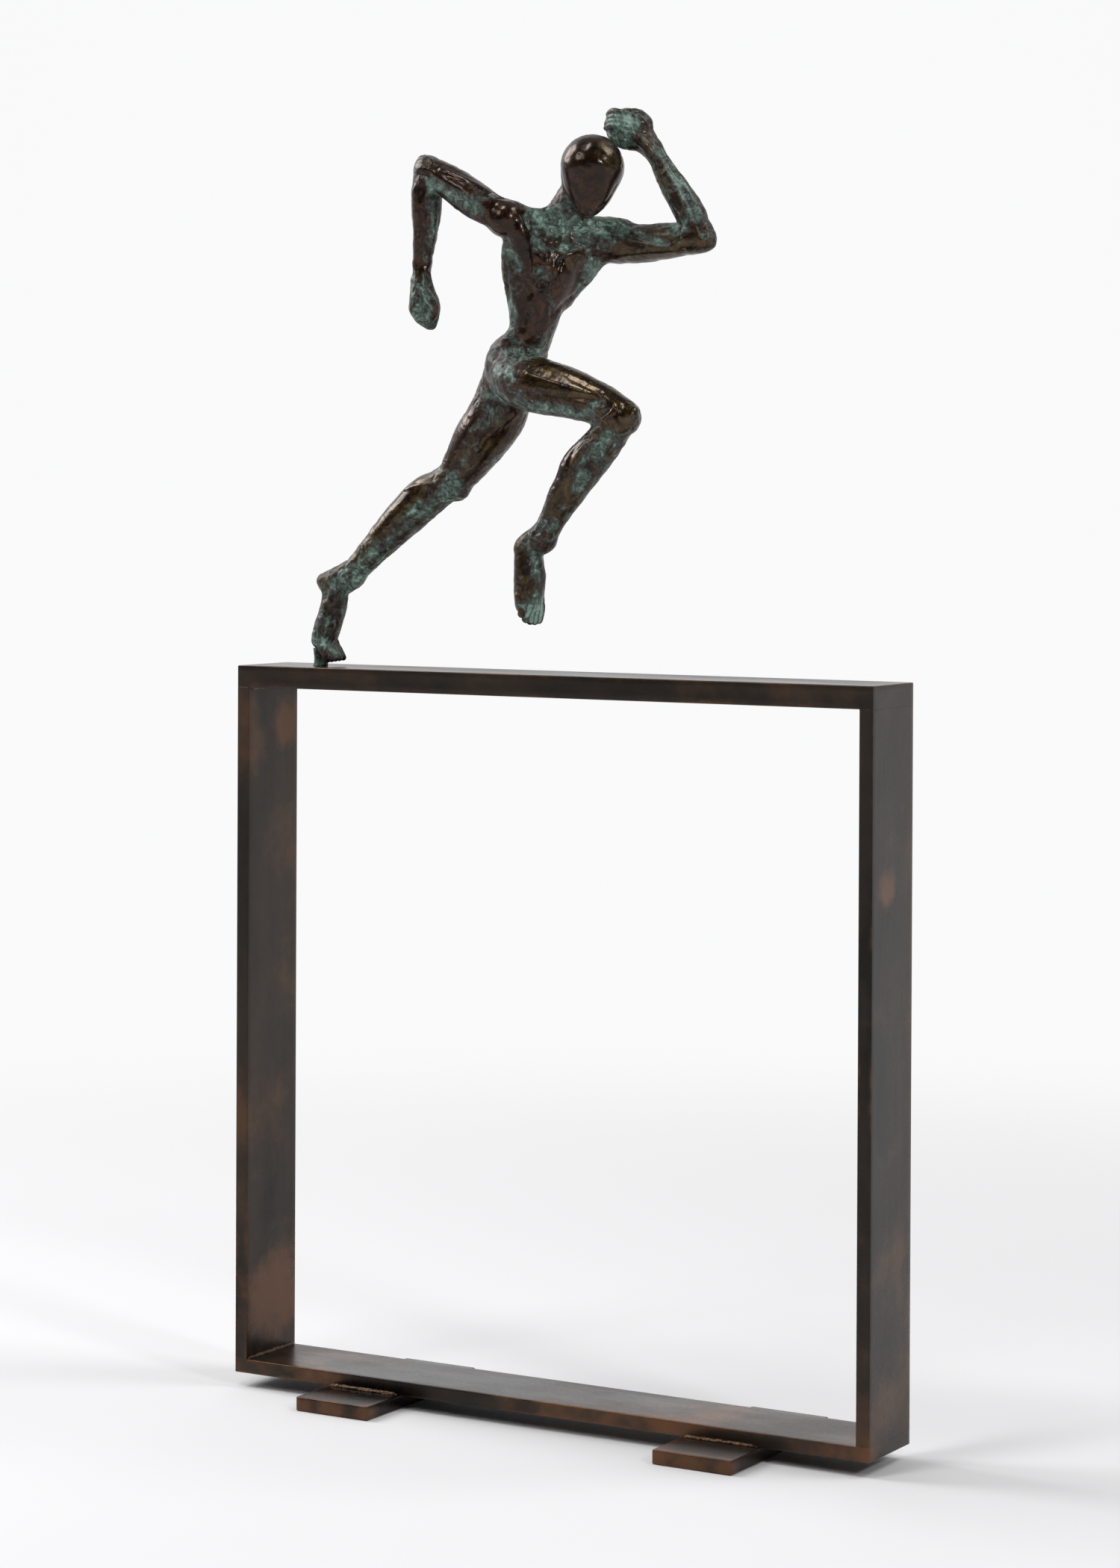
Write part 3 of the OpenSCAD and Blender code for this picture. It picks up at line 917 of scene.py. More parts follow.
@dataclass
class LeadingArm:
    """The arm that reaches forward and folds back, its fist beside the brow."""

    finger_count: int = 4
    finger_pitch: float = 2.5

    def build(self, clay: ClayField) -> None:
        """Adds the arm and its closed fist.

        Args:
            clay: The figure's clay.
        """
        clay.limb([(169, 10, 244.5, 10.5), (182, 21, 242.6, 12), (196, 23, 240, 10.8), (212, 23, 240.8, 10.2),
                   (227, 23, 241.8, 9), (237.6, 22.5, 241.6, 7.6)], 3)
        clay.limb([(233, 22.5, 241.6, 8), (240, 22.5, 240.6, 5.6), (243.4, 22.5, 239.6, 3.2)], 2.5)
        clay.limb([(237, 22.5, 244, 7.4), (229.8, 22, 257, 8.5), (220, 21, 272, 7.6), (212, 20.4, 285, 5.6),
                   (207.6, 20, 292, 5)], 2.5)
        self.fist(clay)
        clay.stroke([(190.6, 14, 252), (196, 17, 253.6), (201, 19, 252)], 1.8, 1.0)
        clay.stroke([(187, 12.4, 250), (200, 12, 243.6), (210, 12.6, 241), (219, 13.4, 239.4),
                     (226, 14, 242)], 1.5, 1.7)
        clay.stroke([(180, 16, 232), (200, 13.6, 234.6), (223, 15.6, 235.4)], 2.6, -0.9)
        clay.stroke([(224, 16, 251), (228, 15.4, 249.6), (226.4, 13.6, 243)], 1.5, 1.5)
        clay.stroke([(214, 17, 291.6), (224, 16.6, 277), (231, 15.6, 265), (237, 15.6, 254),
                     (241, 16.6, 243)], 1.5, 1.4)
        clay.stroke([(207, 13, 294), (214, 13.6, 281), (221, 13.4, 268), (228, 13.6, 259)], 1.2, -0.9)
        clay.stroke([(217, 14, 283), (225, 14, 269), (231, 15, 258)], 1.6, -0.5)

    def fist(self, clay: ClayField) -> None:
        """Adds the closed hand, palm toward the brow and its fingers folded over the top.

        Args:
            clay: The figure's clay.
        """
        clay.limb([(208, 20, 291.4, 5), (203, 19, 297, 7.2), (196, 17.4, 303, 10.2, 0.9)], 3)
        clay.mass((193.6, 16.6, 304), (12.2, 9.4, 11.2), (0, -8, 0), 3)
        clay.mass((198, 17, 307.6), (10.4, 8.6, 7.4), (0, 14, 0), 2)
        for i in range(self.finger_count):
            drop = self.finger_pitch * i
            clay.limb([(183.4 - 0.5 * i, 12, 311.8 - drop, 1.4), (188.6 - 0.3 * i, 8.6, 313 - drop, 1.75),
                       (196.6, 7.8, 311.8 - drop, 1.75), (203.4, 11.4, 309.2 - drop, 1.5)], 0.9)
        clay.limb([(199.6, 9.4, 301.4, 2.2), (203, 12, 297, 3), (208.4, 16.4, 290.6, 3.4)], 1.6)
        clay.limb([(184, 13.6, 302, 1.8), (187, 14.4, 297, 2.2), (193, 14, 294.6, 2.4),
                   (200, 14.6, 294, 2.6)], 1.6)
        clay.stroke([(189.4, 8, 301.6), (193.6, 7.6, 300.8)], 2.4, 2.6)

    def finger_gaps(self, clay: ClayField) -> None:
        """Presses the lines between the fingers."""
        for i in range(self.finger_count):
            drop = self.finger_pitch * (i + 0.5)
            clay.stroke([(183, 10.4, 312 - drop), (189, 6.8, 313 - drop), (197, 6.2, 311.8 - drop),
                         (204, 10, 309.2 - drop)], 0.62, 1.0)


@dataclass
class ForwardLeg:
    """The leg driven forward, thigh nearly level and foot hanging toes down."""

    toe_ends: tuple[float, ...] = (31.5, 28.6, 27.4, 27.2, 27.8)

    def build(self, clay: ClayField) -> None:
        """Adds the leg.

        Args:
            clay: The figure's clay.
        """
        clay.limb([(133, -8, 169, 14), (145, -15, 163.6, 15.6), (160, -17.5, 159.6, 15.4),
                   (178, -18, 155.6, 13.6), (196, -18, 149.6, 11.8), (209.5, -18, 143.5, 10)], 5)
        clay.mass((213.6, -18, 141.6), (7.6, 8.2, 8.2), (0, 20, 0), 3)
        clay.mass((218, -19.6, 143.6), (3.6, 4.6, 4.6), (0, 25, 0), 1.6)
        clay.limb([(210, -18, 141.5, 9), (199, -17, 130, 10.6), (186, -16, 116.5, 11.4),
                   (175, -15.5, 102, 9.8), (166, -15, 88, 7.8), (157.6, -14, 75.4, 6.8)], 3)
        clay.mass((181, -15, 117), (7.4, 9.6, 13), (0, 38, 0), 4)
        clay.limb([(157, -14, 75, 7), (149.4, -14, 68, 7.8, 1.05), (149.4, -14, 55, 8.6, 1.15),
                   (149, -14, 45, 7.8, 1.3), (148.8, -14, 39, 6.8, 1.5)], 4)
        clay.limb([(157, -14, 75, 6.6), (151, -14, 73.4, 6), (146.4, -14, 71, 5.6)], 4)
        clay.mass((155.6, -20.6, 73.6), (2.6, 2.4, 3.2), (0, 0, 0), 1.5)
        self.toes(clay)
        self.muscles(clay)

    def muscles(self, clay: ClayField) -> None:
        """Presses the leg's creases and raises its tendons and shin.

        Args:
            clay: The figure's clay.
        """
        clay.stroke([(150, -31.6, 157), (165, -32.6, 155.6), (177, -32.4, 154), (190, -30.6, 153),
                     (202, -28.6, 152)], 1.4, 1.3)
        clay.stroke([(155, -28, 149), (172, -29, 147), (189, -28.6, 145), (200, -28, 143)], 1.6, 1.3)
        clay.stroke([(158, -32, 167), (170, -32.6, 163.6), (184, -31.6, 159.6), (197, -30, 156)], 2.6, -0.8)
        clay.stroke([(158, -27, 176), (176, -28.6, 168), (192, -27.6, 160), (205, -25.6, 152)], 1.5, 0.6)
        clay.stroke([(197, -29, 150.6), (204, -28.4, 149.6)], 2.0, 1.0)
        clay.stroke([(204, -26.6, 154), (210, -27.6, 150), (210.6, -28, 145.6), (204, -28.2, 141)], 1.1, -1.2)
        clay.stroke([(207, -27, 146), (203, -28, 143.6)], 1.4, 1.6)
        clay.stroke([(214, -26, 151), (212.6, -27, 143), (216, -25.6, 136.6)], 1.2, 1.0)
        clay.stroke([(201, -28.4, 133.6), (191, -27, 130), (184.6, -26.4, 125), (182, -27.4, 118),
                     (179, -27, 107), (174, -25, 96)], 1.4, 1.3)
        clay.stroke([(209, -26.6, 135), (202, -27, 125), (194, -25, 112), (185, -22.6, 100),
                     (174, -19.6, 86)], 1.5, 1.2)
        clay.stroke([(205, -27.6, 131), (197, -27, 120), (189, -25.6, 108)], 1.3, -0.6)
        clay.stroke([(166, -21.6, 88), (160, -21, 80), (157, -21.6, 77.6)], 1.3, 1.0)
        clay.stroke([(153, -21.6, 78), (151.6, -22.4, 71), (154.6, -23, 67)], 1.3, 1.1)
        clay.stroke([(159, -20.6, 68), (157, -20.4, 57), (154.6, -22, 47)], 1.2, 1.0)
        clay.stroke([(154, -22.6, 62), (153, -23.6, 52), (152, -24.6, 45)], 1.2, -0.7)

    def toes(self, clay: ClayField) -> None:
        """Adds the toes, the biggest on the inner side."""
        for i, end in enumerate(self.toe_ends):
            across = -21.6 + 3.5 * i
            clay.limb([(147.8 + 0.9 * i, across, 43, 3.2), (149.6 + 0.8 * i, across - 0.2, 36, 2.5),
                       (149 + 0.7 * i, across - 0.2, end + 2.1, 2.1)], 0.9)

    def gaps(self) -> list[list[Point]]:
        """Paths of the gaps between the toes, from the ball of the foot to the tips."""
        return [[(152.2 + 0.9 * i, -19.85 + 3.5 * i, 42), (152.8 + 0.8 * i, -20.05 + 3.5 * i, 36),
                 (151.6 + 0.7 * i, -20.05 + 3.5 * i, end + 0.6)] for i, end in enumerate(self.toe_ends[:-1])]

    def toe_gaps(self, clay: ClayField) -> None:
        """Presses the gaps between the toes."""
        for path in self.gaps():
            clay.stroke(path, 0.75, 2.1)


@dataclass
class PushingLeg:
    """The leg that pushes off, standing on the ball of the foot with the heel high."""

    toe_count: int = 5

    def build(self, clay: ClayField) -> None:
        """Adds the leg.

        Args:
            clay: The figure's clay.
        """
        clay.limb([(124, 5, 170, 14), (119, 9, 157, 15.6), (112.6, 10, 144, 16.4), (103.4, 9.4, 131.6, 15.6),
                   (94, 8.6, 118.5, 12.8), (86.4, 8, 108.4, 10.4)], 5)
        clay.mass((88.6, 6.6, 101.8), (5.6, 7, 6), (0, 0, 0), 3)
        clay.mass((92.6, 5, 100.4), (3.6, 4.6, 3.4), (0, 35, 0), 1.2)
        clay.limb([(86, 8, 108, 9.6), (72, 7.4, 100.4, 11.2), (60, 6.4, 91.6, 11.8), (47, 5.2, 80, 10.4),
                   (35, 4, 68.2, 8.6), (20.4, 3, 54, 7.2)], 3)
        clay.mass((64.4, 6.6, 99.4), (13, 9.6, 7.6), (0, -36, 0), 4)
        clay.limb([(19.4, 3, 52.4, 7.4), (10, 2.2, 45, 7.4), (8.2, 1, 34, 7.2, 1.15), (4, 0, 20, 7, 1.4),
                   (1.6, 0, 14.6, 5.6, 1.5)], 4)
        clay.limb([(17, 3, 52, 7.2), (9, 2.6, 50.4, 6.4), (2.8, 2, 48.6, 5.8)], 4)
        clay.mass((18.6, -4.4, 52.2), (2.8, 2.4, 3.2), (0, 0, 0), 1.5)
        self.toes(clay)
        self.muscles(clay)

    def muscles(self, clay: ClayField) -> None:
        """Presses the leg's creases and raises its tendons and shin.

        Args:
            clay: The figure's clay.
        """
        clay.stroke([(121, -6, 151), (114.6, -7, 143), (107.6, -7, 134), (102, -6.6, 125), (94.6, -5, 114),
                     (90, -3.6, 109)], 1.9, 1.9)
        clay.stroke([(125, -5, 150), (117, -6.6, 140), (110, -6, 131)], 1.2, 0.8)
        clay.stroke([(130, 3, 144), (122, -1.6, 138), (114, -4.6, 131), (108.6, -4.6, 124.6)], 1.9, -1.1)
        clay.stroke([(76, -3, 108.6), (85, -4, 109.6), (91, -4.6, 111.6)], 1.2, 1.2)
        clay.stroke([(98, -2, 104), (93, -2.4, 105), (88, -1.6, 100)], 1.2, 1.4)
        clay.stroke([(86, 1, 97.6), (91, 2, 96)], 1.5, 1.4)
        clay.stroke([(58, -2, 102.6), (68, -4, 104.6), (80, -4.6, 107)], 1.5, -0.9)
        clay.stroke([(90, -2, 103), (78, -3, 95.6), (67, -4.6, 88), (55, -4.6, 78), (44, -4, 68.6),
                     (36, -3.6, 61.6)], 1.4, 1.5)
        clay.stroke([(86, 0, 97), (70, 0, 86), (58, -1, 76), (46, -1, 67)], 1.2, 1.1)
        clay.stroke([(84, -3, 103), (72, -4.6, 95), (60, -5.4, 85.6)], 1.3, -0.7)
        clay.stroke([(31, -4, 60), (26, -5, 58), (21, -4.6, 57)], 1.2, 0.9)
        clay.stroke([(14.6, -5.6, 52), (15.4, -5.6, 47.6), (19, -4.6, 45)], 1.5, 1.3)
        clay.stroke([(12, -5.6, 50), (8, -5.6, 44), (7, -6, 39)], 1.5, 1.0)
        clay.stroke([(13.6, -5, 32), (10, -7.6, 22), (7, -8, 16)], 1.2, -0.8)

    def toes(self, clay: ClayField) -> None:
        """Adds the toes, bent forward at the ball of the foot."""
        for i in range(self.toe_count):
            across = -7.8 + 3.9 * i
            big = 0.14 * (self.toe_count - 1 - i)
            clay.limb([(3.4, across * 0.92, 15, 2.5 + big), (6.8, across, 10.2, 2.2 + big),
                       (10.2, across * 1.04, 4.6, 2 + big)], 1.0)

    def toe_gaps(self, clay: ClayField) -> None:
        """Presses the gaps between the toes."""
        for i in range(self.toe_count - 1):
            across = -5.85 + 3.9 * i
            clay.stroke([(8, across, 17), (10, across, 11), (12.6, across, 4)], 0.7, 1.2)


# ---------------------------------------------------------------- castings


class Joint(Enum):
    """The chased joints between the castings, each named after its pin."""

    NECK = "neck_pin"
    TRAILING_SHOULDER = "right_shoulder_pin"
    LEADING_SHOULDER = "left_shoulder_pin"
    FORWARD_HIP = "right_hip_pin"
    PUSHING_HIP = "left_hip_pin"


class Casting(Enum):
    """The castings that the figure is welded up from, each named after its CAD node."""

    TORSO = "torso"
    HEAD = "head"
    TRAILING_ARM = "right_arm"
    LEADING_ARM = "left_arm"
    FORWARD_LEG = "right_leg"
    PUSHING_LEG = "left_leg"


@dataclass(frozen=True)
class JointFace:
    """The flat face where a limb's casting meets the trunk's.

    Attributes:
        joint: Which joint it is.
        out: The way out of the trunk.
        casting: The casting beyond it.
        near: Balls, as x, y, z and radius in millimetres, that the casting stays inside; none for no limit.
        low: Lowest height that the casting reaches.
        high: Highest height that it reaches.
    """

    joint: Joint
    out: Point
    casting: Casting
    near: tuple[Station, ...] = ()
    low: float = -10
    high: float = 400

    def holds(self, points: np.ndarray, origin: Vector) -> np.ndarray:
        """Says which points belong to the casting beyond this face.

        Args:
            points: Points in millimetres from the foot of the post.
            origin: The foot of the post, in metres.

        Returns:
            True or False for each point.
        """
        low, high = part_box(self.joint.value)
        centre = np.array(((low + high) / 2 - origin) / MM)
        height = points[:, 2]
        inside = ((points - centre) @ np.array(self.out) > 0) & (height > self.low) & (height < self.high)
        if self.near:
            balls = [np.linalg.norm(points - ball[:3], axis=1) < ball[3] for ball in self.near]
            inside &= np.any(balls, axis=0)
        return inside


JOINT_FACES = (
    JointFace(Joint.NECK, (0.52, 0, 0.85), Casting.HEAD,
              ((181.6, -2, 282, 20), (170, -4, 265, 13), (178, -7, 262, 13))),
    JointFace(Joint.TRAILING_SHOULDER, (-0.68, -0.68, 0.27), Casting.TRAILING_ARM, low=187),
    JointFace(Joint.LEADING_SHOULDER, (0.76, 0.57, 0.3), Casting.LEADING_ARM, low=215),
    JointFace(Joint.FORWARD_HIP, (0.86, -0.42, -0.28), Casting.FORWARD_LEG,
              ((150, -15, 162, 18), (160, -17, 160, 18), (172, -18, 156, 18), (196, -18, 150, 24),
               (190, -18, 110, 46), (160, -16, 60, 52)), high=185),
    JointFace(Joint.PUSHING_HIP, (-0.5, 0.05, -0.86), Casting.PUSHING_LEG, high=172),
)

Run = tuple[float, tuple[Point, ...]]

GREEN_RUNS: tuple[Run, ...] = (
    (2.8, ((98, -36, 275), (109, -37, 269), (122, -38, 263), (129, -35, 257))),
    (3.2, ((127, -35, 264), (134, -33, 266))),
    (2.4, ((96, -33, 268), (95, -33, 252), (92, -31, 232))),
    (4.2, ((93, -35, 207), (92, -36, 199))),
    (4.2, ((152, -20, 252), (158, -15, 252), (164, -12, 249))),
    (2.6, ((156, -20, 243), (158, -19, 237))),
    (3.4, ((160, -19, 221), (160, -18, 217))),
    (1.8, ((161, -15, 212), (161, -11, 203))),
    (4.6, ((168, -10, 250), (176, 4, 250))),
    (2.2, ((167, -8, 235), (171, -4, 238), (175, 3, 241))),
    (4.0, ((138, -19, 241), (142, -23, 233), (146, -23, 228))),
    (3.8, ((138, -17, 204), (139, -17, 193))),
    (3.4, ((141, -22, 178), (150, -24, 177), (156, -19, 178))),
    (3.0, ((155, -10, 188), (153, -12, 180))),
    (4.6, ((171, 9, 219), (175, 11, 227))),
    (3.2, ((136, -27, 168), (144, -31, 168))),
    (2.6, ((150, -29, 150), (172, -29, 147), (196, -28, 144))),
    (5.5, ((122, -6, 151), (115, -6, 143))),
    (4.0, ((112, -6, 140), (104, -6, 126))),
    (2.4, ((103, -6, 125), (90, -3, 109))),
    (3.0, ((92, -2, 104), (86, -2, 102))),
    (3.0, ((86, -2, 100), (67, -4, 88), (50, -4, 74), (38, -3, 62))),
    (4.4, ((27, -3, 53), (17, -5, 47), (19, -4, 43))),
    (2.6, ((206, -27, 132), (199, -26, 122))),
    (2.8, ((191, -25, 111), (186, -24, 103))),
    (2.2, ((203, -27, 150), (197, -28, 149))),
    (3.0, ((156, -22, 66), (157, -21, 56))),
    (2.0, ((155, -18, 44), (154, -16, 32))),
    (4.8, ((181, 13, 250), (190, 13, 248))),
    (2.6, ((196, 12, 245), (210, 13, 241), (220, 14, 239))),
    (3.6, ((223, 14, 248), (228, 15, 245))),
    (2.6, ((216, 17, 290), (227, 16, 273), (237, 16, 255))),
    (4.4, ((188, 8, 302), (194, 8, 299))),
    (2.4, ((186, 9, 308), (198, 8, 307))),
    (3.0, ((170, -14, 262), (177, -12, 257))),
    (3.0, ((5, -7, 14), (9, 0, 8))),
)

HAZE_RUNS: tuple[Run, ...] = (
    (9.0, ((140, -22, 236), (138, -18, 205))),
    (9.0, ((134, -22, 176), (140, -29, 162), (148, -30, 152))),
    (7.0, ((158, -16, 246), (172, -2, 248))),
    (8.0, ((186, 14, 250), (214, 15, 249))),
    (9.0, ((200, -25, 122), (176, -20, 88))),
    (7.0, ((162, -26, 150), (196, -28, 145))),
    (7.0, ((88, 0, 102), (40, 0, 62))),
    (8.0, ((10, 0, 50), (6, -4, 14))),
    (8.0, ((152, -20, 70), (152, -22, 36))),
    (6.0, ((90, -33, 214), (90, -33, 196))),
    (6.0, ((212, 18, 292), (240, 17, 246))),
    (8.0, ((186, 10, 300), (202, 12, 308))),
    (8.0, ((168, -8, 290), (176, -6, 299), (190, -4, 299))),
    (7.0, ((166, -10, 262), (176, -10, 256))),
    (6.0, ((98, -33, 266), (126, -34, 252))),
)

GOLD_RUNS: tuple[Run, ...] = (
    (9.0, ((166, -26, 168), (190, -26, 161), (206, -25, 153), (215, -24, 145))),
    (8.0, ((148, -22, 66), (149, -23, 42))),
    (8.0, ((62, 0, 104), (50, -2, 90), (40, -2, 76))),
    (8.0, ((12, -5, 36), (6, -6, 22))),
    (7.0, ((226, 16, 262), (214, 16, 284), (206, 14, 294))),
    (7.0, ((200, 14, 234), (222, 15, 236), (238, 17, 240))),
    (4.0, ((196, -12, 290), (199, -8, 284))),
    (5.0, ((167, -8, 240), (171, -6, 234))),
    (6.0, ((118, 0, 138), (103, -2, 118))),
    (5.0, ((6, 0, 50), (2, -2, 48))),
    (7.0, ((206, -27, 140), (196, -26, 120), (172, -22, 84))),
    (8.0, ((84, -2, 104), (60, -3, 88), (24, -3, 54))),
)

POLISHED_RUNS: tuple[Run, ...] = (
    (11.0, ((182, -16, 286), (184, -16, 268))),
    (8.0, ((140, -34, 256), (146, -28, 244), (149, -22, 230))),
    (6.5, ((155, -18, 208), (152, -17, 190))),
    (7.0, ((168, -6, 228), (166, -8, 216))),
    (8.0, ((165, -28, 166), (190, -28, 159), (208, -26, 150))),
    (6.0, ((104, -35, 281), (128, -31, 269))),
    (5.0, ((90, -36, 264), (89, -34, 232))),
    (6.0, ((128, 0, 140), (112, -2, 122))),
    (6.0, ((108, -4, 142), (94, -2, 120))),
    (7.0, ((60, -2, 101), (46, -2, 82))),
    (7.0, ((196, 14, 234), (234, 16, 238))),
    (5.0, ((184, -22, 124), (176, -22, 102))),
    (5.0, ((148, -23, 62), (149, -24, 46))),
)

LIMB_LINES: tuple[tuple[Point, Point], ...] = (
    ((132, -1, 174), (156, -3, 245)),
    ((140, -24, 255), (92, -28, 280)),
    ((89, -28, 275), (87, -28, 200)),
    ((175, 12, 244), (236, 22, 242)),
    ((234, 22, 250), (200, 18, 302)),
    ((150, -16, 161), (208, -18, 145)),
    ((203, -17, 135), (158, -14, 76)),
    ((151, -14, 68), (152, -14, 34)),
    ((117, 9, 152), (90, 8, 110)),
    ((80, 8, 103), (18, 3, 52)),
    ((12, 2, 44), (5, 0, 12)),
)


@dataclass
class Runner:
    """The whole figure, sculpted as one clay and then cut into castings at its joint faces.

    Attributes:
        place: Where the foot of the post stands, in metres.
        step: Grid spacing of the clay in millimetres.
        finish: Material of every casting.
    """

    place: Vector
    step: float
    finish: bpy.types.Material

    def sculpt(self) -> ClayField:
        """Builds the clay from its parts.

        Returns:
            The finished clay.
        """
        clay = ClayField((-16, -46, -4), (256, 44, 324), self.step)
        trailing, leading = TrailingArm(), LeadingArm()
        forward, pushing = ForwardLeg(), PushingLeg()
        for part in (Trunk(), pushing, forward, leading, Mask(), trailing):
            part.build(clay)
        leading.finger_gaps(clay)
        forward.toe_gaps(clay)
        pushing.toe_gaps(clay)
        self.flatten_sole(clay)
        return clay

    def flatten_sole(self, clay: ClayField) -> None:
        """Cuts the ball of the foot level where the post stands.

        Args:
            clay: The figure's clay.
        """
        low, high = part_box("mounting_post")
        radius = (high.x - low.x) / 2 / MM
        top = (high.z - low.z) / MM
        where, (x, y, z) = clay.window(np.array([-radius - 4, -10, -2]),
                                       np.array([radius + 2.4, 10, top + 4]))
        under = np.maximum(z - top, x - radius - 0.4)
        clay.values[where] = np.maximum(clay.values[where], -np.broadcast_to(under, clay.values[where].shape))

    def skin(self) -> tuple[np.ndarray, np.ndarray, dict[str, np.ndarray]]:
        """Takes the clay's surface, adds tool marks, and measures where patina gathers and where shade is
        painted into the creases.

        Returns:
            Vertices in millimetres, quads, and named values for each vertex.
        """
        clay = self.sculpt()
        clay.smooth()
        points, quads = clay.skin()
        normals = vertex_normals(points, quads)
        head = np.clip((np.linalg.norm(points - (182, -3, 276), axis=1) - 17) / 8, 0, 1)
        polish = np.maximum(nearness(points, POLISHED_RUNS), 1 - head)
        rake = self.raked(points)
        marks = self.tool_marks(points) * (1 - 0.72 * polish) - 0.34 * rake * (1 - 0.85 * polish)
        sealed = np.clip((points[:, 2] - 9.4) / 3, 0, 1)
        points = points + normals * (marks * sealed)[:, None]
        normals = vertex_normals(points, quads)
        hollow = sum(np.clip((d - clay.at(points + normals * d)) / d, 0, 1) for d in (2.0, 3.6, 6.5)) / 3
        tight = np.clip((1.2 - clay.at(points + normals * 1.2)) / 1.2, 0, 1)
        proud = np.clip((clay.at(points - normals * 2.0) + 2.0) / 2.0, 0, 1)
        values = {
            "hollow": np.clip(hollow * 1.5, 0, 1),
            "crease": np.clip(tight * 1.3 - marks * 0.8, 0, 1),
            "rake": rake,
            "ridge": np.clip(proud * 1.6 + marks * 0.8, 0, 1),
            "green": np.maximum(nearness(points, GREEN_RUNS),
                                2.2 * nearness(points, [(0.9, path) for path in ForwardLeg().gaps()])),
            "haze": nearness(points, HAZE_RUNS),
            "gold": nearness(points, GOLD_RUNS),
            "polish": polish,
        }
        return points, quads, values

    def tool_marks(self, points: np.ndarray) -> np.ndarray:
        """Height of the modelling marks left in the clay.

        Args:
            points: Surface points in millimetres.

        Returns:
            Height at each point, in millimetres.
        """
        slow, mid, small = Grain(10, 3).at(points), Grain(5, 5).at(points), Grain(2.4, 8).at(points)
        bent = points + 2.0 * np.stack([Grain(7, n).at(points) for n in (21, 22, 23)], 1)
        ridged = 1 - 2 * np.abs(Grain(4.2, 13).at(bent))
        pits = np.clip(Grain(2.8, 17).at(bent) - 0.42, 0, 1)
        return 0.28 * slow + 0.24 * mid + 0.13 * small + 0.15 * ridged - 1.0 * pits

    def raked(self, points: np.ndarray) -> np.ndarray:
        """Long shallow scratches that follow the limbs.

        Args:
            points: Surface points in millimetres.

        Returns:
            A number for each point: 1 in the middle of a scratch, 0 away from all.
        """
        total, weight = np.zeros(len(points)), np.full(len(points), 1e-9)
        warp = np.stack([Grain(9, n).at(points) for n in (31, 32, 33)], 1)
        for number, ends in enumerate(LIMB_LINES):
            a, b = np.array(ends, float)
            way = (b - a) / np.linalg.norm(b - a)
            along = (points - a) @ way
            held = np.clip(along, 0, np.linalg.norm(b - a))
            off = np.linalg.norm(points - a - held[:, None] * way, axis=1)
            share = np.exp(-(off / 7.0) ** 2)
            near = share > 1e-3
            pressed = points[near] - (0.7 * along[near])[:, None] * way + 1.6 * warp[near]
            lines = np.exp(-(Grain(3.4, 50 + number).at(pressed) / 0.11) ** 2)
            total[near] += share[near] * lines
            weight[near] += share[near]
        broken = np.clip(Grain(6, 77).at(points) * 1.6 + 0.55, 0, 1)
        return np.clip(total / weight, 0, 1) * broken

    def build(self) -> None:
        """Parts the skin at its joint faces and makes one closed piece for each casting."""
        points, quads, values = self.skin()
        log.info("skin of the figure: %d vertices", len(points))
        middles = points[quads].mean(axis=1)
        owner = np.full(len(quads), Casting.TORSO, object)
        for face in JOINT_FACES:
            owner[(owner == Casting.TORSO) & face.holds(middles, self.place)] = face.casting
        normals = vertex_normals(points, quads)
        for casting in Casting:
            self.piece(casting, points, normals, quads[owner == casting], values)

    def piece(self, casting: Casting, points: np.ndarray, normals: np.ndarray, quads: np.ndarray,
              values: dict[str, np.ndarray]) -> bpy.types.Object:
        """Makes one casting, closed at its joints, with the whole figure's shading carried across them.

        Args:
            casting: Which one.
            points: All the skin's vertices in millimetres.
            normals: Their directions.
            quads: The casting's own faces.
            values: Named numbers for each vertex.

        Returns:
            The finished object.
        """
        used, inverse = np.unique(quads, return_inverse=True)
        faces = [tuple(f) for f in inverse.reshape(-1, 4).tolist()]
        own, facing = points[used], normals[used]
        for rim in rims(inverse.reshape(-1, 4)):
            own = np.vstack([own, own[rim].mean(axis=0)])
            facing = np.vstack([facing, (0.0, 0.0, 1.0)])
            faces += [(rim[i], rim[i - 1], len(own) - 1) for i in range(len(rim))]
        made = new_mesh(casting.value + "_cast", own * MM + np.array(self.place), faces)
        made.data.normals_split_custom_set_from_vertices(facing.tolist())
        for name, numbers in values.items():
            set_values(made, name, np.append(numbers[used], np.zeros(len(own) - len(used))))
        dress(made, self.finish, "figure_bronze", casting.value)
        return made


def rims(quads: np.ndarray) -> list[list[int]]:
    """Finds the open edges of a mesh.

    Args:
        quads: Faces.

    Returns:
        The vertex numbers round each opening, in the order that its faces give them.
    """
    pairs = np.concatenate([quads[:, [k, (k + 1) % 4]] for k in range(4)])
    width = int(quads.max()) + 1
    forward, backward = pairs[:, 0] * width + pairs[:, 1], pairs[:, 1] * width + pairs[:, 0]
    follow: dict[int, list[int]] = {}
    for a, b in pairs[~np.isin(forward, backward)].tolist():
        follow.setdefault(a, []).append(b)
    found = []
    while follow:
        ring = [next(iter(follow))]
        while ring[-1] in follow:
            at = ring[-1]
            step = follow[at].pop()
            if not follow[at]:
                del follow[at]
            ring.append(step)
        found.append(ring[:-1])
    return found


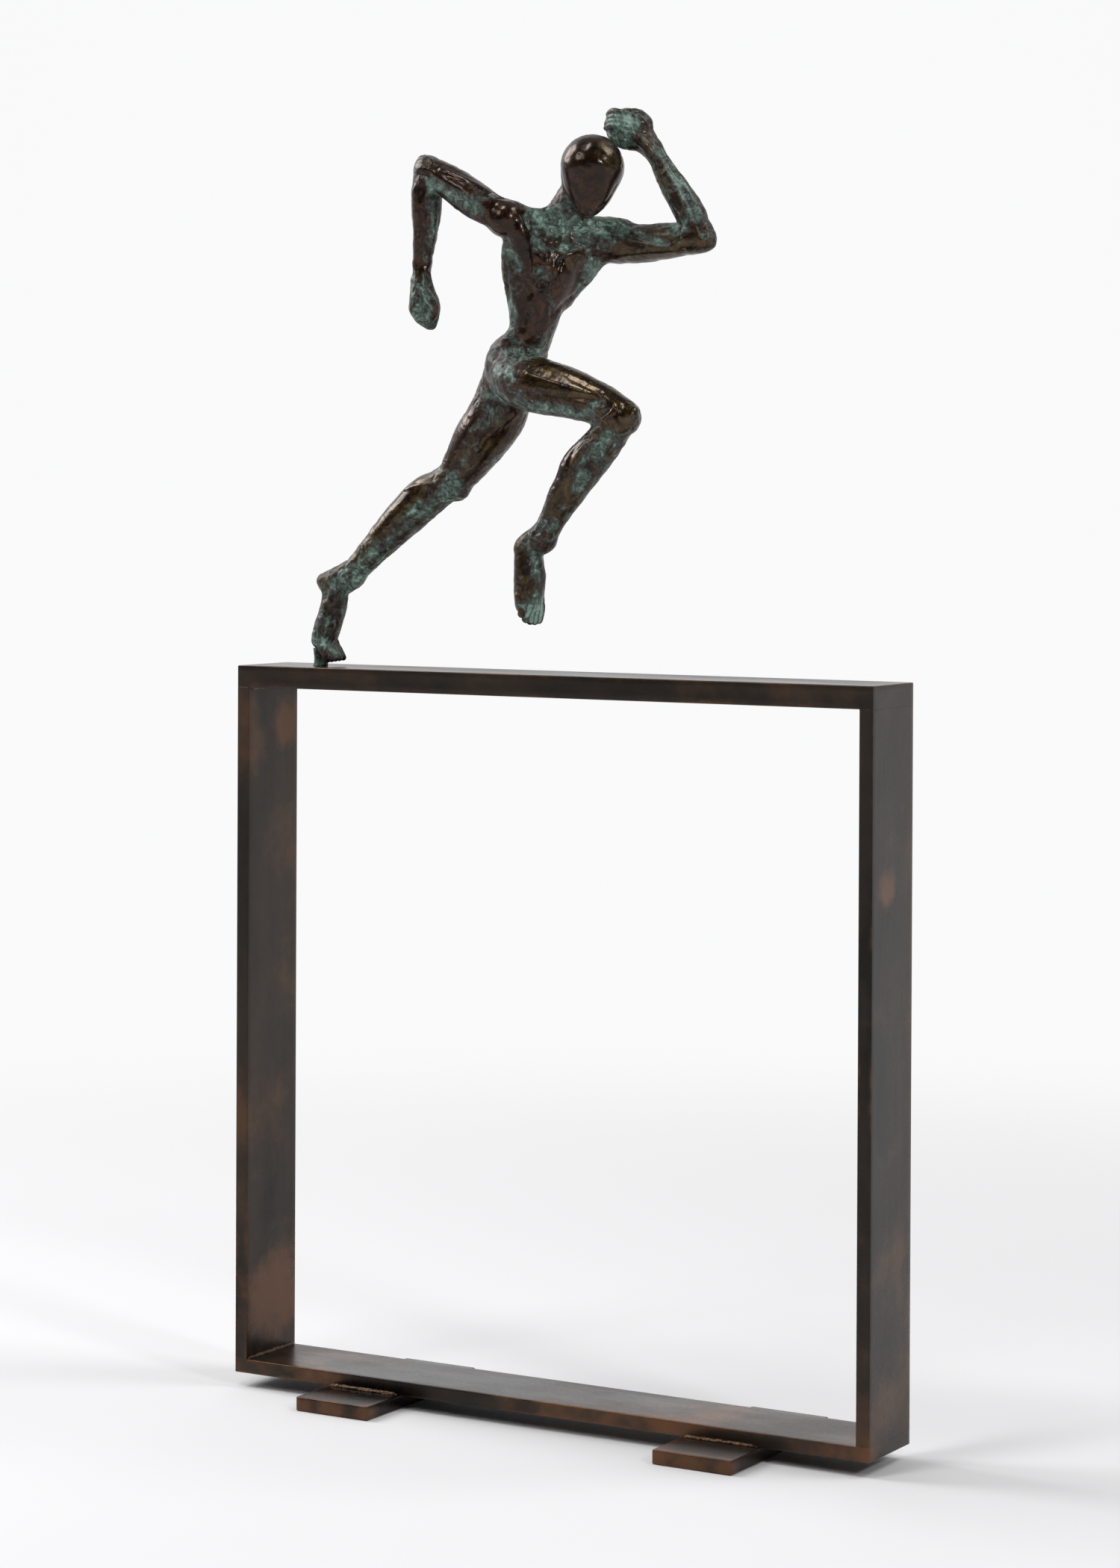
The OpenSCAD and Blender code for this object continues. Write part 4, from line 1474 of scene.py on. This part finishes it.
def vertex_normals(points: np.ndarray, quads: np.ndarray) -> np.ndarray:
    """Directions that the surface faces at its vertices.

    Args:
        points: Vertices.
        quads: Faces.

    Returns:
        One unit vector for each vertex.
    """
    a, b = points[quads[:, 2]] - points[quads[:, 0]], points[quads[:, 3]] - points[quads[:, 1]]
    facing = np.cross(a, b)
    total = np.zeros_like(points, dtype=np.float64)
    for i in range(4):
        for axis in range(3):
            total[:, axis] += np.bincount(quads[:, i], facing[:, axis], len(points))
    return total / np.maximum(np.linalg.norm(total, axis=1, keepdims=True), 1e-9)


def nearness(points: np.ndarray, runs: Sequence[tuple[float, Sequence[Point]]]) -> np.ndarray:
    """How close each point is to any of a list of painted runs: 1 on one, fading to 0 at twice its width.

    Args:
        points: Points in millimetres.
        runs: Pairs of a width and a path.

    Returns:
        One number for each point.
    """
    best = np.zeros(len(points), np.float32)
    for width, path in runs:
        rows = np.array(path, float)
        around = np.all((points > rows.min(0) - 2 * width) & (points < rows.max(0) + 2 * width), axis=1)
        some = points[around]
        off = np.full(len(some), 1e9)
        for a, b in zip(rows, rows[1:]):
            along = np.clip(((some - a) @ (b - a)) / ((b - a) @ (b - a)), 0, 1)
            off = np.minimum(off, np.linalg.norm(some - a - along[:, None] * (b - a), axis=1))
        best[around] = np.maximum(best[around], np.clip(2 - off / width, 0, 1))
    return best


# ---------------------------------------------------------------- frame of flat bar


@dataclass
class Bar:
    """One piece of flat bar with softly broken edges.

    Attributes:
        node: CAD node that it stands for.
        finish: Its material.
        edge: Radius of the broken edges, in metres.
        cell: Size of the mesh's cells along the bar, in metres.
        square_low: True keeps the lower edges square past the ends' joints, so that those stay closed.
        square_high: The same for the upper edges.
        joint: Length at each end that the uprights cover, in metres.
        square_ends: True keeps both ends square, for a bar that stands between two others.
        rubs: Middle and reach, in metres, of each patch rubbed down to copper brown.
    """

    node: str
    finish: bpy.types.Material
    edge: float = 0.0007
    cell: float = 0.003
    square_low: bool = False
    square_high: bool = False
    joint: float = 0.0
    square_ends: bool = False
    rubs: Sequence[tuple[Point, float]] = ()

    def lines(self, low: float, high: float, extra: Sequence[float] = ()) -> np.ndarray:
        """Places of the mesh lines along one axis, close together near the edges.

        Args:
            low: Where the bar starts on this axis.
            high: Where it ends.
            extra: Lines to add.

        Returns:
            The places, in rising order.
        """
        r = self.edge
        ends = [low, low + r * 0.3, low + r * 0.7, low + r, high - r, high - r * 0.7, high - r * 0.3, high]
        count = max(2, int((high - low) / self.cell))
        inner = np.linspace(low + r, high - r, count + 1)
        return np.unique(np.round([*ends, *inner, *extra], 7))

    def build(self) -> bpy.types.Object:
        """Makes the bar.

        Returns:
            The finished piece.
        """
        low, high = (np.array(c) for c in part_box(self.node))
        extra = [low[0] + self.joint, low[0] + self.joint + 1e-4, high[0] - self.joint,
                 high[0] - self.joint - 1e-4]
        axes = [self.lines(low[0], high[0], extra if self.joint else ()), self.lines(low[1], high[1]),
                self.lines(low[2], high[2])]
        points, faces = shell_grid(axes)
        points, worn = self.rounded(points, low, high)
        made = new_mesh(self.node + "_bar", points, faces)
        set_values(made, "edge", worn)
        rubbed = np.zeros(len(points))
        for place, reach in self.rubs:
            away = np.linalg.norm(points - np.array(place), axis=1)
            rubbed = np.maximum(rubbed, np.exp(-((away / reach) ** 2)))
        set_values(made, "rubbed", rubbed)
        dress(made, self.finish, "dark_bar", self.node)
        return made

    def rounded(self, points: np.ndarray, low: np.ndarray, high: np.ndarray) -> tuple[np.ndarray, np.ndarray]:
        """Rounds the edges and works out how worn each place is.

        Args:
            points: Vertices on the sharp box.
            low: The box's lowest corner.
            high: Its highest corner.

        Returns:
            The moved vertices, and a number from 0 to 1 for each.
        """
        r = self.edge
        inner_low, inner_high = np.tile(low + r, (len(points), 1)), np.tile(high - r, (len(points), 1))
        over = (points[:, 0] < low[0] + self.joint + 5e-5) | (points[:, 0] > high[0] - self.joint - 5e-5)
        if self.square_low:
            inner_low[over, 2] = low[2]
        if self.square_high:
            inner_high[over, 2] = high[2]
        if self.square_ends:
            inner_low[:, 2], inner_high[:, 2] = low[2], high[2]
        core = np.clip(points, inner_low, inner_high)
        off = points - core
        length = np.linalg.norm(off, axis=1, keepdims=True)
        moved = np.where(length > 1e-9, core + off / np.maximum(length, 1e-9) * r, points)
        gaps = np.sort(np.minimum(points - low, high - points), axis=1)
        below, above = points - low, high - points
        if self.square_low:
            below[over, 2] = 1.0
        if self.square_high:
            above[over, 2] = 1.0
        if self.square_ends:
            below[:, 2] = above[:, 2] = 1.0
        open_gap = np.sort(np.minimum(below, above), axis=1)[:, 1]
        worn = np.exp(-open_gap / 0.0012) * 0.8 + np.exp(-open_gap / 0.006) * 0.4
        wave = Grain(38, 41).at(points / MM) * 0.00012
        flat = np.clip((gaps[:, 1] - 0.002) / 0.01, 0, 1)
        side = np.argmin(np.minimum(points - low, high - points), axis=1)
        sign = np.where(points[np.arange(len(points)), side] > (low + high)[side] / 2, 1.0, -1.0)
        moved[np.arange(len(points)), side] -= sign * np.abs(wave) * flat
        return moved, np.clip(worn, 0, 1)


def shell_grid(axes: Sequence[np.ndarray]) -> tuple[np.ndarray, list[tuple[int, ...]]]:
    """The six sides of a box as one closed grid.

    Args:
        axes: Places of the lines along X, Y and Z.

    Returns:
        Vertices, and faces that look outward.
    """
    index: dict[tuple[int, int, int], int] = {}
    points: list[tuple[float, float, float]] = []

    def number(i: int, j: int, k: int) -> int:
        """Number of the vertex at three line numbers, made if it is new."""
        if (i, j, k) not in index:
            index[i, j, k] = len(points)
            points.append((axes[0][i], axes[1][j], axes[2][k]))
        return index[i, j, k]

    faces = []
    for axis in range(3):
        u, v = (axis + 1) % 3, (axis + 2) % 3
        for end, flip in ((0, True), (len(axes[axis]) - 1, False)):
            for a in range(len(axes[u]) - 1):
                for b in range(len(axes[v]) - 1):
                    ring = []
                    for da, db in ((0, 0), (1, 0), (1, 1), (0, 1)):
                        at = [0, 0, 0]
                        at[axis], at[u], at[v] = end, a + da, b + db
                        ring.append(number(*at))
                    faces.append(tuple(reversed(ring)) if flip else tuple(ring))
    return np.array(points), faces


@dataclass
class WeldBead:
    """A lumpy bead laid along an inside corner, filling it with a rough curved face.

    Attributes:
        node: CAD node that it stands for.
        finish: Its material.
        along: Axis number that the bead runs along.
        corner: Signs, on the other two axes in order, of the side where the solid corner lies.
        seed: Number that picks its lumps.
    """

    node: str
    finish: bpy.types.Material
    along: int
    corner: tuple[int, int]
    seed: int
    steps: int = 90
    around: int = 10

    def build(self) -> bpy.types.Object:
        """Makes the bead.

        Returns:
            The finished piece.
        """
        low, high = (np.array(c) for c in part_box(self.node))
        others = [i for i in range(3) if i != self.along]
        root = [high[i] if sign > 0 else low[i] for i, sign in zip(others, self.corner)]
        size = [high[i] - low[i] for i in others]
        rings = []
        for s in range(self.steps + 1):
            share = s / self.steps
            place = low[self.along] + (high[self.along] - low[self.along]) * share
            taper = min(1.0, 14 * min(share, 1 - share) + 0.25)
            ring = []
            for k in range(self.around + 1):
                turn = math.pi / 2 * k / self.around
                spot = np.array([place / MM, k * 0.5 + self.seed * 3.0, self.seed * 7.0])[None]
                lump = 0.88 + 0.16 * float(Grain(1.8, 61).at(spot)[0]) + 0.05 * math.sin(share * 110)
                reach = taper * min(lump, 1.0)
                point = np.zeros(3)
                point[self.along] = place
                point[others[0]] = root[0] - self.corner[0] * size[0] * reach * math.cos(turn)
                point[others[1]] = root[1] - self.corner[1] * size[1] * reach * math.sin(turn)
                ring.append(point)
            back = np.zeros(3)
            back[self.along], back[others[0]], back[others[1]] = place, root[0], root[1]
            ring.append(back)
            rings.append(ring)
        made = tube_mesh(self.node + "_bead", rings)
        dress(made, self.finish, "weld_bead", self.node)
        return made


def tube_mesh(name: str, rings: Sequence[Sequence[np.ndarray]]) -> bpy.types.Object:
    """Skins a row of closed rings and caps both ends, facing outward.

    Args:
        name: Name of the piece.
        rings: Points of each ring, the same number in all.

    Returns:
        The linked object.
    """
    size = len(rings[0])
    points = np.array([p for ring in rings for p in ring])
    faces = [(r * size + k, r * size + (k + 1) % size, (r + 1) * size + (k + 1) % size, (r + 1) * size + k)
             for r in range(len(rings) - 1) for k in range(size)]
    faces.append(tuple(range(size))[::-1])
    faces.append(tuple(range((len(rings) - 1) * size, len(rings) * size)))
    made = new_mesh(name, points, faces)
    work = bmesh.new()
    work.from_mesh(made.data)
    bmesh.ops.recalc_face_normals(work, faces=work.faces)
    work.to_mesh(made.data)
    work.free()
    return made


@dataclass
class OpenFrame:
    """Four bars, two foot plates and the welds between them."""

    level: bpy.types.Material
    upright: bpy.types.Material
    low: bpy.types.Material
    weld: bpy.types.Material

    def build(self) -> None:
        """Makes every piece of the frame."""
        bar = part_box("left_upright")[1].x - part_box("left_upright")[0].x
        Bar("top_bar", self.level, square_low=True, joint=bar).build()
        Bar("bottom_bar", self.low, square_high=True, joint=bar).build()
        Bar("left_upright", self.upright, square_ends=True,
            rubs=(((-0.196, 0.014, 0.385), 0.017), ((-0.196, 0.004, 0.05), 0.036))).build()
        Bar("right_upright", self.upright, square_ends=True, rubs=(((0.204, -0.008, 0.31), 0.012),)).build()
        for name in ("left_foot_plate", "right_foot_plate"):
            low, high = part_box(name)
            fronts = tuple(((x, low.y, low.z), 0.014) for x in np.linspace(low.x, high.x, 3))
            Bar(name, self.low, edge=0.0009, cell=0.0025, rubs=fronts).build()
        corners = {"top_left": (-1, 1), "top_right": (1, 1), "bottom_left": (-1, -1), "bottom_right": (1, -1)}
        for seed, (name, corner) in enumerate(corners.items()):
            WeldBead("corner_weld_" + name, self.weld, 1, corner, seed).build()
        sides = {"left_front": (1, -1), "left_back": (-1, -1), "right_front": (1, -1), "right_back": (-1, -1)}
        for seed, (name, corner) in enumerate(sides.items()):
            WeldBead("foot_weld_" + name, self.weld, 0, corner, seed + 5).build()


# ---------------------------------------------------------------- fixing


@dataclass
class Fixing:
    """The post under the ball of the foot, and the screw from below that holds it down.

    Attributes:
        patina: Material of the post.
        steel: Material of the screw and of the pins inside the figure.
        sides: Points around each ring.
        shank: Radius of the screw's thread, in metres.
        pitch: Rise of the thread in one turn.
        chamfer: Size of the head's broken edge.
        socket_flat: Distance from the socket's middle to a flat.
        socket_depth: How deep the socket goes.
    """

    patina: bpy.types.Material
    steel: bpy.types.Material
    sides: int = 60
    shank: float = 0.0025
    pitch: float = 0.0008
    chamfer: float = 0.0002
    socket_flat: float = 0.0015
    socket_depth: float = 0.002

    def ring(self, centre: Vector, z: float, profile: Callable[[float, float], float]) -> list[np.ndarray]:
        """One ring of points around an upright axis.

        Args:
            centre: A point of the axis.
            z: Height of the ring.
            profile: Radius in metres for an angle and a height.

        Returns:
            The points.
        """
        turns = (2 * math.pi * k / self.sides for k in range(self.sides))
        return [np.array([centre.x + profile(a, z) * math.cos(a), centre.y + profile(a, z) * math.sin(a), z])
                for a in turns]

    def post(self) -> None:
        """The cast post, rough and a little waisted."""
        low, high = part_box("mounting_post")
        centre, radius, tall = (low + high) / 2, (high.x - low.x) / 2, high.z - low.z

        def profile(angle: float, z: float) -> float:
            """Radius with the casting's lumps, never past the CAD post.

            Args:
                angle: Angle around the post, in radians.
                z: Height in metres.

            Returns:
                The radius in metres.
            """
            spot = np.array([[math.cos(angle) * 4, math.sin(angle) * 4, z / MM]])
            share = (z - low.z) / tall
            waist = 1 - 0.12 * math.sin(math.pi * min(max(share, 0), 1))
            return radius * min(waist * (0.97 + 0.06 * float(Grain(2.2, 71).at(spot)[0])), 1.0)

        heights = np.linspace(low.z, high.z + 0.0012, 40)
        made = tube_mesh("mounting_post_cast", [self.ring(centre, z, profile) for z in heights])
        count = len(made.data.vertices)
        amounts = {"hollow": 0.4, "crease": 0.2, "rake": 0.1, "ridge": 0.1, "green": 0.5, "haze": 1.0,
                   "gold": 0.3, "polish": 0.0}
        for name, number in amounts.items():
            set_values(made, name, np.full(count, number))
        dress(made, self.patina, "verdigris_post", "mounting_post")

    def screw(self) -> None:
        """The countersunk screw: hexagon socket, chamfered head, and a single-start thread."""
        low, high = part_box("mounting_screw")
        centre, head = (low + high) / 2, (high.x - low.x) / 2
        neck = low.z + head - self.shank

        def socket(angle: float, _: float) -> float:
            """Radius of the hexagon."""
            return self.socket_flat / math.cos(angle % (math.pi / 3) - math.pi / 6)

        def outside(angle: float, z: float) -> float:
            """Radius of the head's cone, then of the thread.

            Args:
                angle: Angle around the screw, in radians.
                z: Height in metres.

            Returns:
                The radius in metres.
            """
            if z < neck:
                return min(head - (z - low.z), head - self.chamfer + (z - low.z))
            phase = (z / self.pitch - angle / (2 * math.pi)) % 1
            end = min(z - neck, high.z - z, self.pitch) / self.pitch
            return self.shank * (1 - 0.12 * abs(2 * phase - 1)) * (0.86 + 0.14 * end)

        rings = [self.ring(centre, z, socket) for z in (low.z + self.socket_depth, low.z)]
        heights = [*np.linspace(low.z, neck, 14)[:-1], *np.linspace(neck, high.z, 200)]
        rings += [self.ring(centre, z, outside) for z in heights]
        dress(tube_mesh("mounting_screw_thread", rings), self.steel, "steel_fixing", "mounting_screw")

    def build(self) -> None:
        """Makes the post and the screw, and dresses the pins inside the figure."""
        self.post()
        self.screw()
        for joint in Joint:
            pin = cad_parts[joint.value]
            for place in pin.material_slots:
                place.material = self.steel


# ---------------------------------------------------------------- studio


@dataclass
class Studio:
    """Camera, floor and soft light."""

    eye: Point = (1.1027, -1.8737, 0.5228)
    yaw: float = 30.53
    pitch: float = -0.444
    roll: float = 0.252
    lens: float = 89.44
    rise: float = -0.171

    def camera(self) -> None:
        """Puts up the camera."""
        data = bpy.data.cameras.new("camera")
        data.lens, data.sensor_width, data.shift_y = self.lens, 36.0, self.rise
        data.clip_start, data.clip_end = 0.05, 60
        made = bpy.data.objects.new("camera", data)
        yaw, pitch = math.radians(self.yaw), math.radians(self.pitch)
        ahead = Vector((-math.sin(yaw) * math.cos(pitch), math.cos(yaw) * math.cos(pitch), math.sin(pitch)))
        made.location = self.eye
        level = ahead.to_track_quat("-Z", "Y").to_matrix()
        made.rotation_euler = (level @ Matrix.Rotation(math.radians(self.roll), 3, "Z")).to_euler()
        bpy.context.scene.collection.objects.link(made)
        bpy.context.scene.camera = made

    def floor(self) -> None:
        """Lays a wide round floor."""
        rings = [0.0, 0.4, 0.8, 1.4, 2.4, 4.0, 8.0, 24.0]
        sides = 64
        points = [(0.0, 0.0, 0.0)]
        faces: list[tuple[int, ...]] = []
        for r in rings[1:]:
            points += [(r * math.cos(2 * math.pi * k / sides), r * math.sin(2 * math.pi * k / sides), 0.0)
                       for k in range(sides)]
        faces += [(0, 1 + k, 1 + (k + 1) % sides) for k in range(sides)]
        for n in range(len(rings) - 2):
            a, b = 1 + n * sides, 1 + (n + 1) * sides
            faces += [(a + k, b + k, b + (k + 1) % sides, a + (k + 1) % sides) for k in range(sides)]
        made = new_mesh("floor", np.array(points), faces)
        made.location.z = -0.0001
        made.data.materials.append(PaleFloor().material())

    def light(self, name: str, place: Point, aim: Point, size: tuple[float, float], power: float,
              tint: Colour = (1, 1, 1)) -> None:
        """Hangs a rectangular softbox.

        Args:
            name: Name of the light.
            place: Where it hangs, in metres.
            aim: What it faces.
            size: Width and height.
            power: Watts.
            tint: Colour.
        """
        data = bpy.data.lights.new(name, "AREA")
        data.shape, data.size, data.size_y = "RECTANGLE", size[0], size[1]
        data.energy, data.color = power, tint
        made = bpy.data.objects.new(name, data)
        made.location = place
        made.rotation_euler = (Vector(aim) - Vector(place)).to_track_quat("-Z", "Y").to_euler()
        bpy.context.scene.collection.objects.link(made)

    def surroundings(self) -> None:
        """White walls behind the work, falling off to a dim room in front of it."""
        world = bpy.data.worlds.new("studio")
        bpy.context.scene.world = world
        world.use_nodes = True
        tree = world.node_tree
        tree.nodes.clear()
        facing = tree.nodes.new("ShaderNodeVectorMath")
        facing.operation = "DOT_PRODUCT"
        tree.links.new(tree.nodes.new("ShaderNodeTexCoord").outputs["Generated"], facing.inputs[0])
        facing.inputs[1].default_value = (0.508, -0.861, 0.0)
        walls = tree.nodes.new("ShaderNodeValToRGB")
        stops = ((0.0, 1.0), (0.12, 0.95), (0.28, 0.4), (0.55, 0.14), (0.72, 0.035))
        while len(walls.color_ramp.elements) < len(stops):
            walls.color_ramp.elements.new(0.5)
        for element, (place, level) in zip(walls.color_ramp.elements, stops):
            element.position = place
            element.color = (level, level, level * 1.01, 1.0)
        share = tree.nodes.new("ShaderNodeMapRange")
        share.inputs["From Min"].default_value = -1.0
        tree.links.new(facing.outputs["Value"], share.inputs["Value"])
        tree.links.new(share.outputs["Result"], walls.inputs["Fac"])
        glow = tree.nodes.new("ShaderNodeBackground")
        tree.links.new(walls.outputs["Color"], glow.inputs["Color"])
        glow.inputs["Strength"].default_value = 0.955
        out = tree.nodes.new("ShaderNodeOutputWorld")
        tree.links.new(glow.outputs[0], out.inputs[0])

    def build(self) -> None:
        """Sets up the floor, the lights and the colour handling."""
        self.floor()
        self.surroundings()
        middle = (0.0, 0.0, 0.5)
        self.light("side_box", (-1.55, -0.2, 1.6), middle, (1.0, 1.2), 31)
        self.light("front_box", (-0.9, -2.2, 2.2), middle, (0.7, 0.7), 12)
        self.light("right_lamp", (2.0, -0.8, 1.4), middle, (0.3, 0.3), 13)
        self.light("over_box", (-0.1, -0.7, 2.6), middle, (0.35, 0.8), 14)
        self.light("back_box", (1.3, 0.5, 2.2), middle, (0.9, 0.9), 19)
        bpy.context.scene.view_settings.view_transform = "Standard"
        bpy.context.scene.view_settings.look = "None"


# ---------------------------------------------------------------- all together


def main() -> None:
    """Builds the trophy."""
    logging.basicConfig(level=logging.INFO, format="%(name)s %(message)s")
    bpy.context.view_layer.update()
    studio = Studio()
    studio.camera()
    patina = BronzePatina().material()
    OpenFrame(DarkBar("dark_bar_level", (0.25, 1.0, 1.0)).material(),
              DarkBar("dark_bar_upright", (1.0, 1.0, 0.2), clouds=0.4).material(),
              DarkBar("dark_bar_low", (0.4, 1.0, 1.0), wear=0.9, clouds=0.9).material(),
              WeldMetal().material()).build()
    Fixing(patina, PlainSteel().material()).build()
    low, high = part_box("mounting_post")
    place = Vector(((low.x + high.x) / 2, (low.y + high.y) / 2, low.z))
    Runner(place, 0.6, patina).build()
    studio.build()


if __name__ == "__main__":
    main()
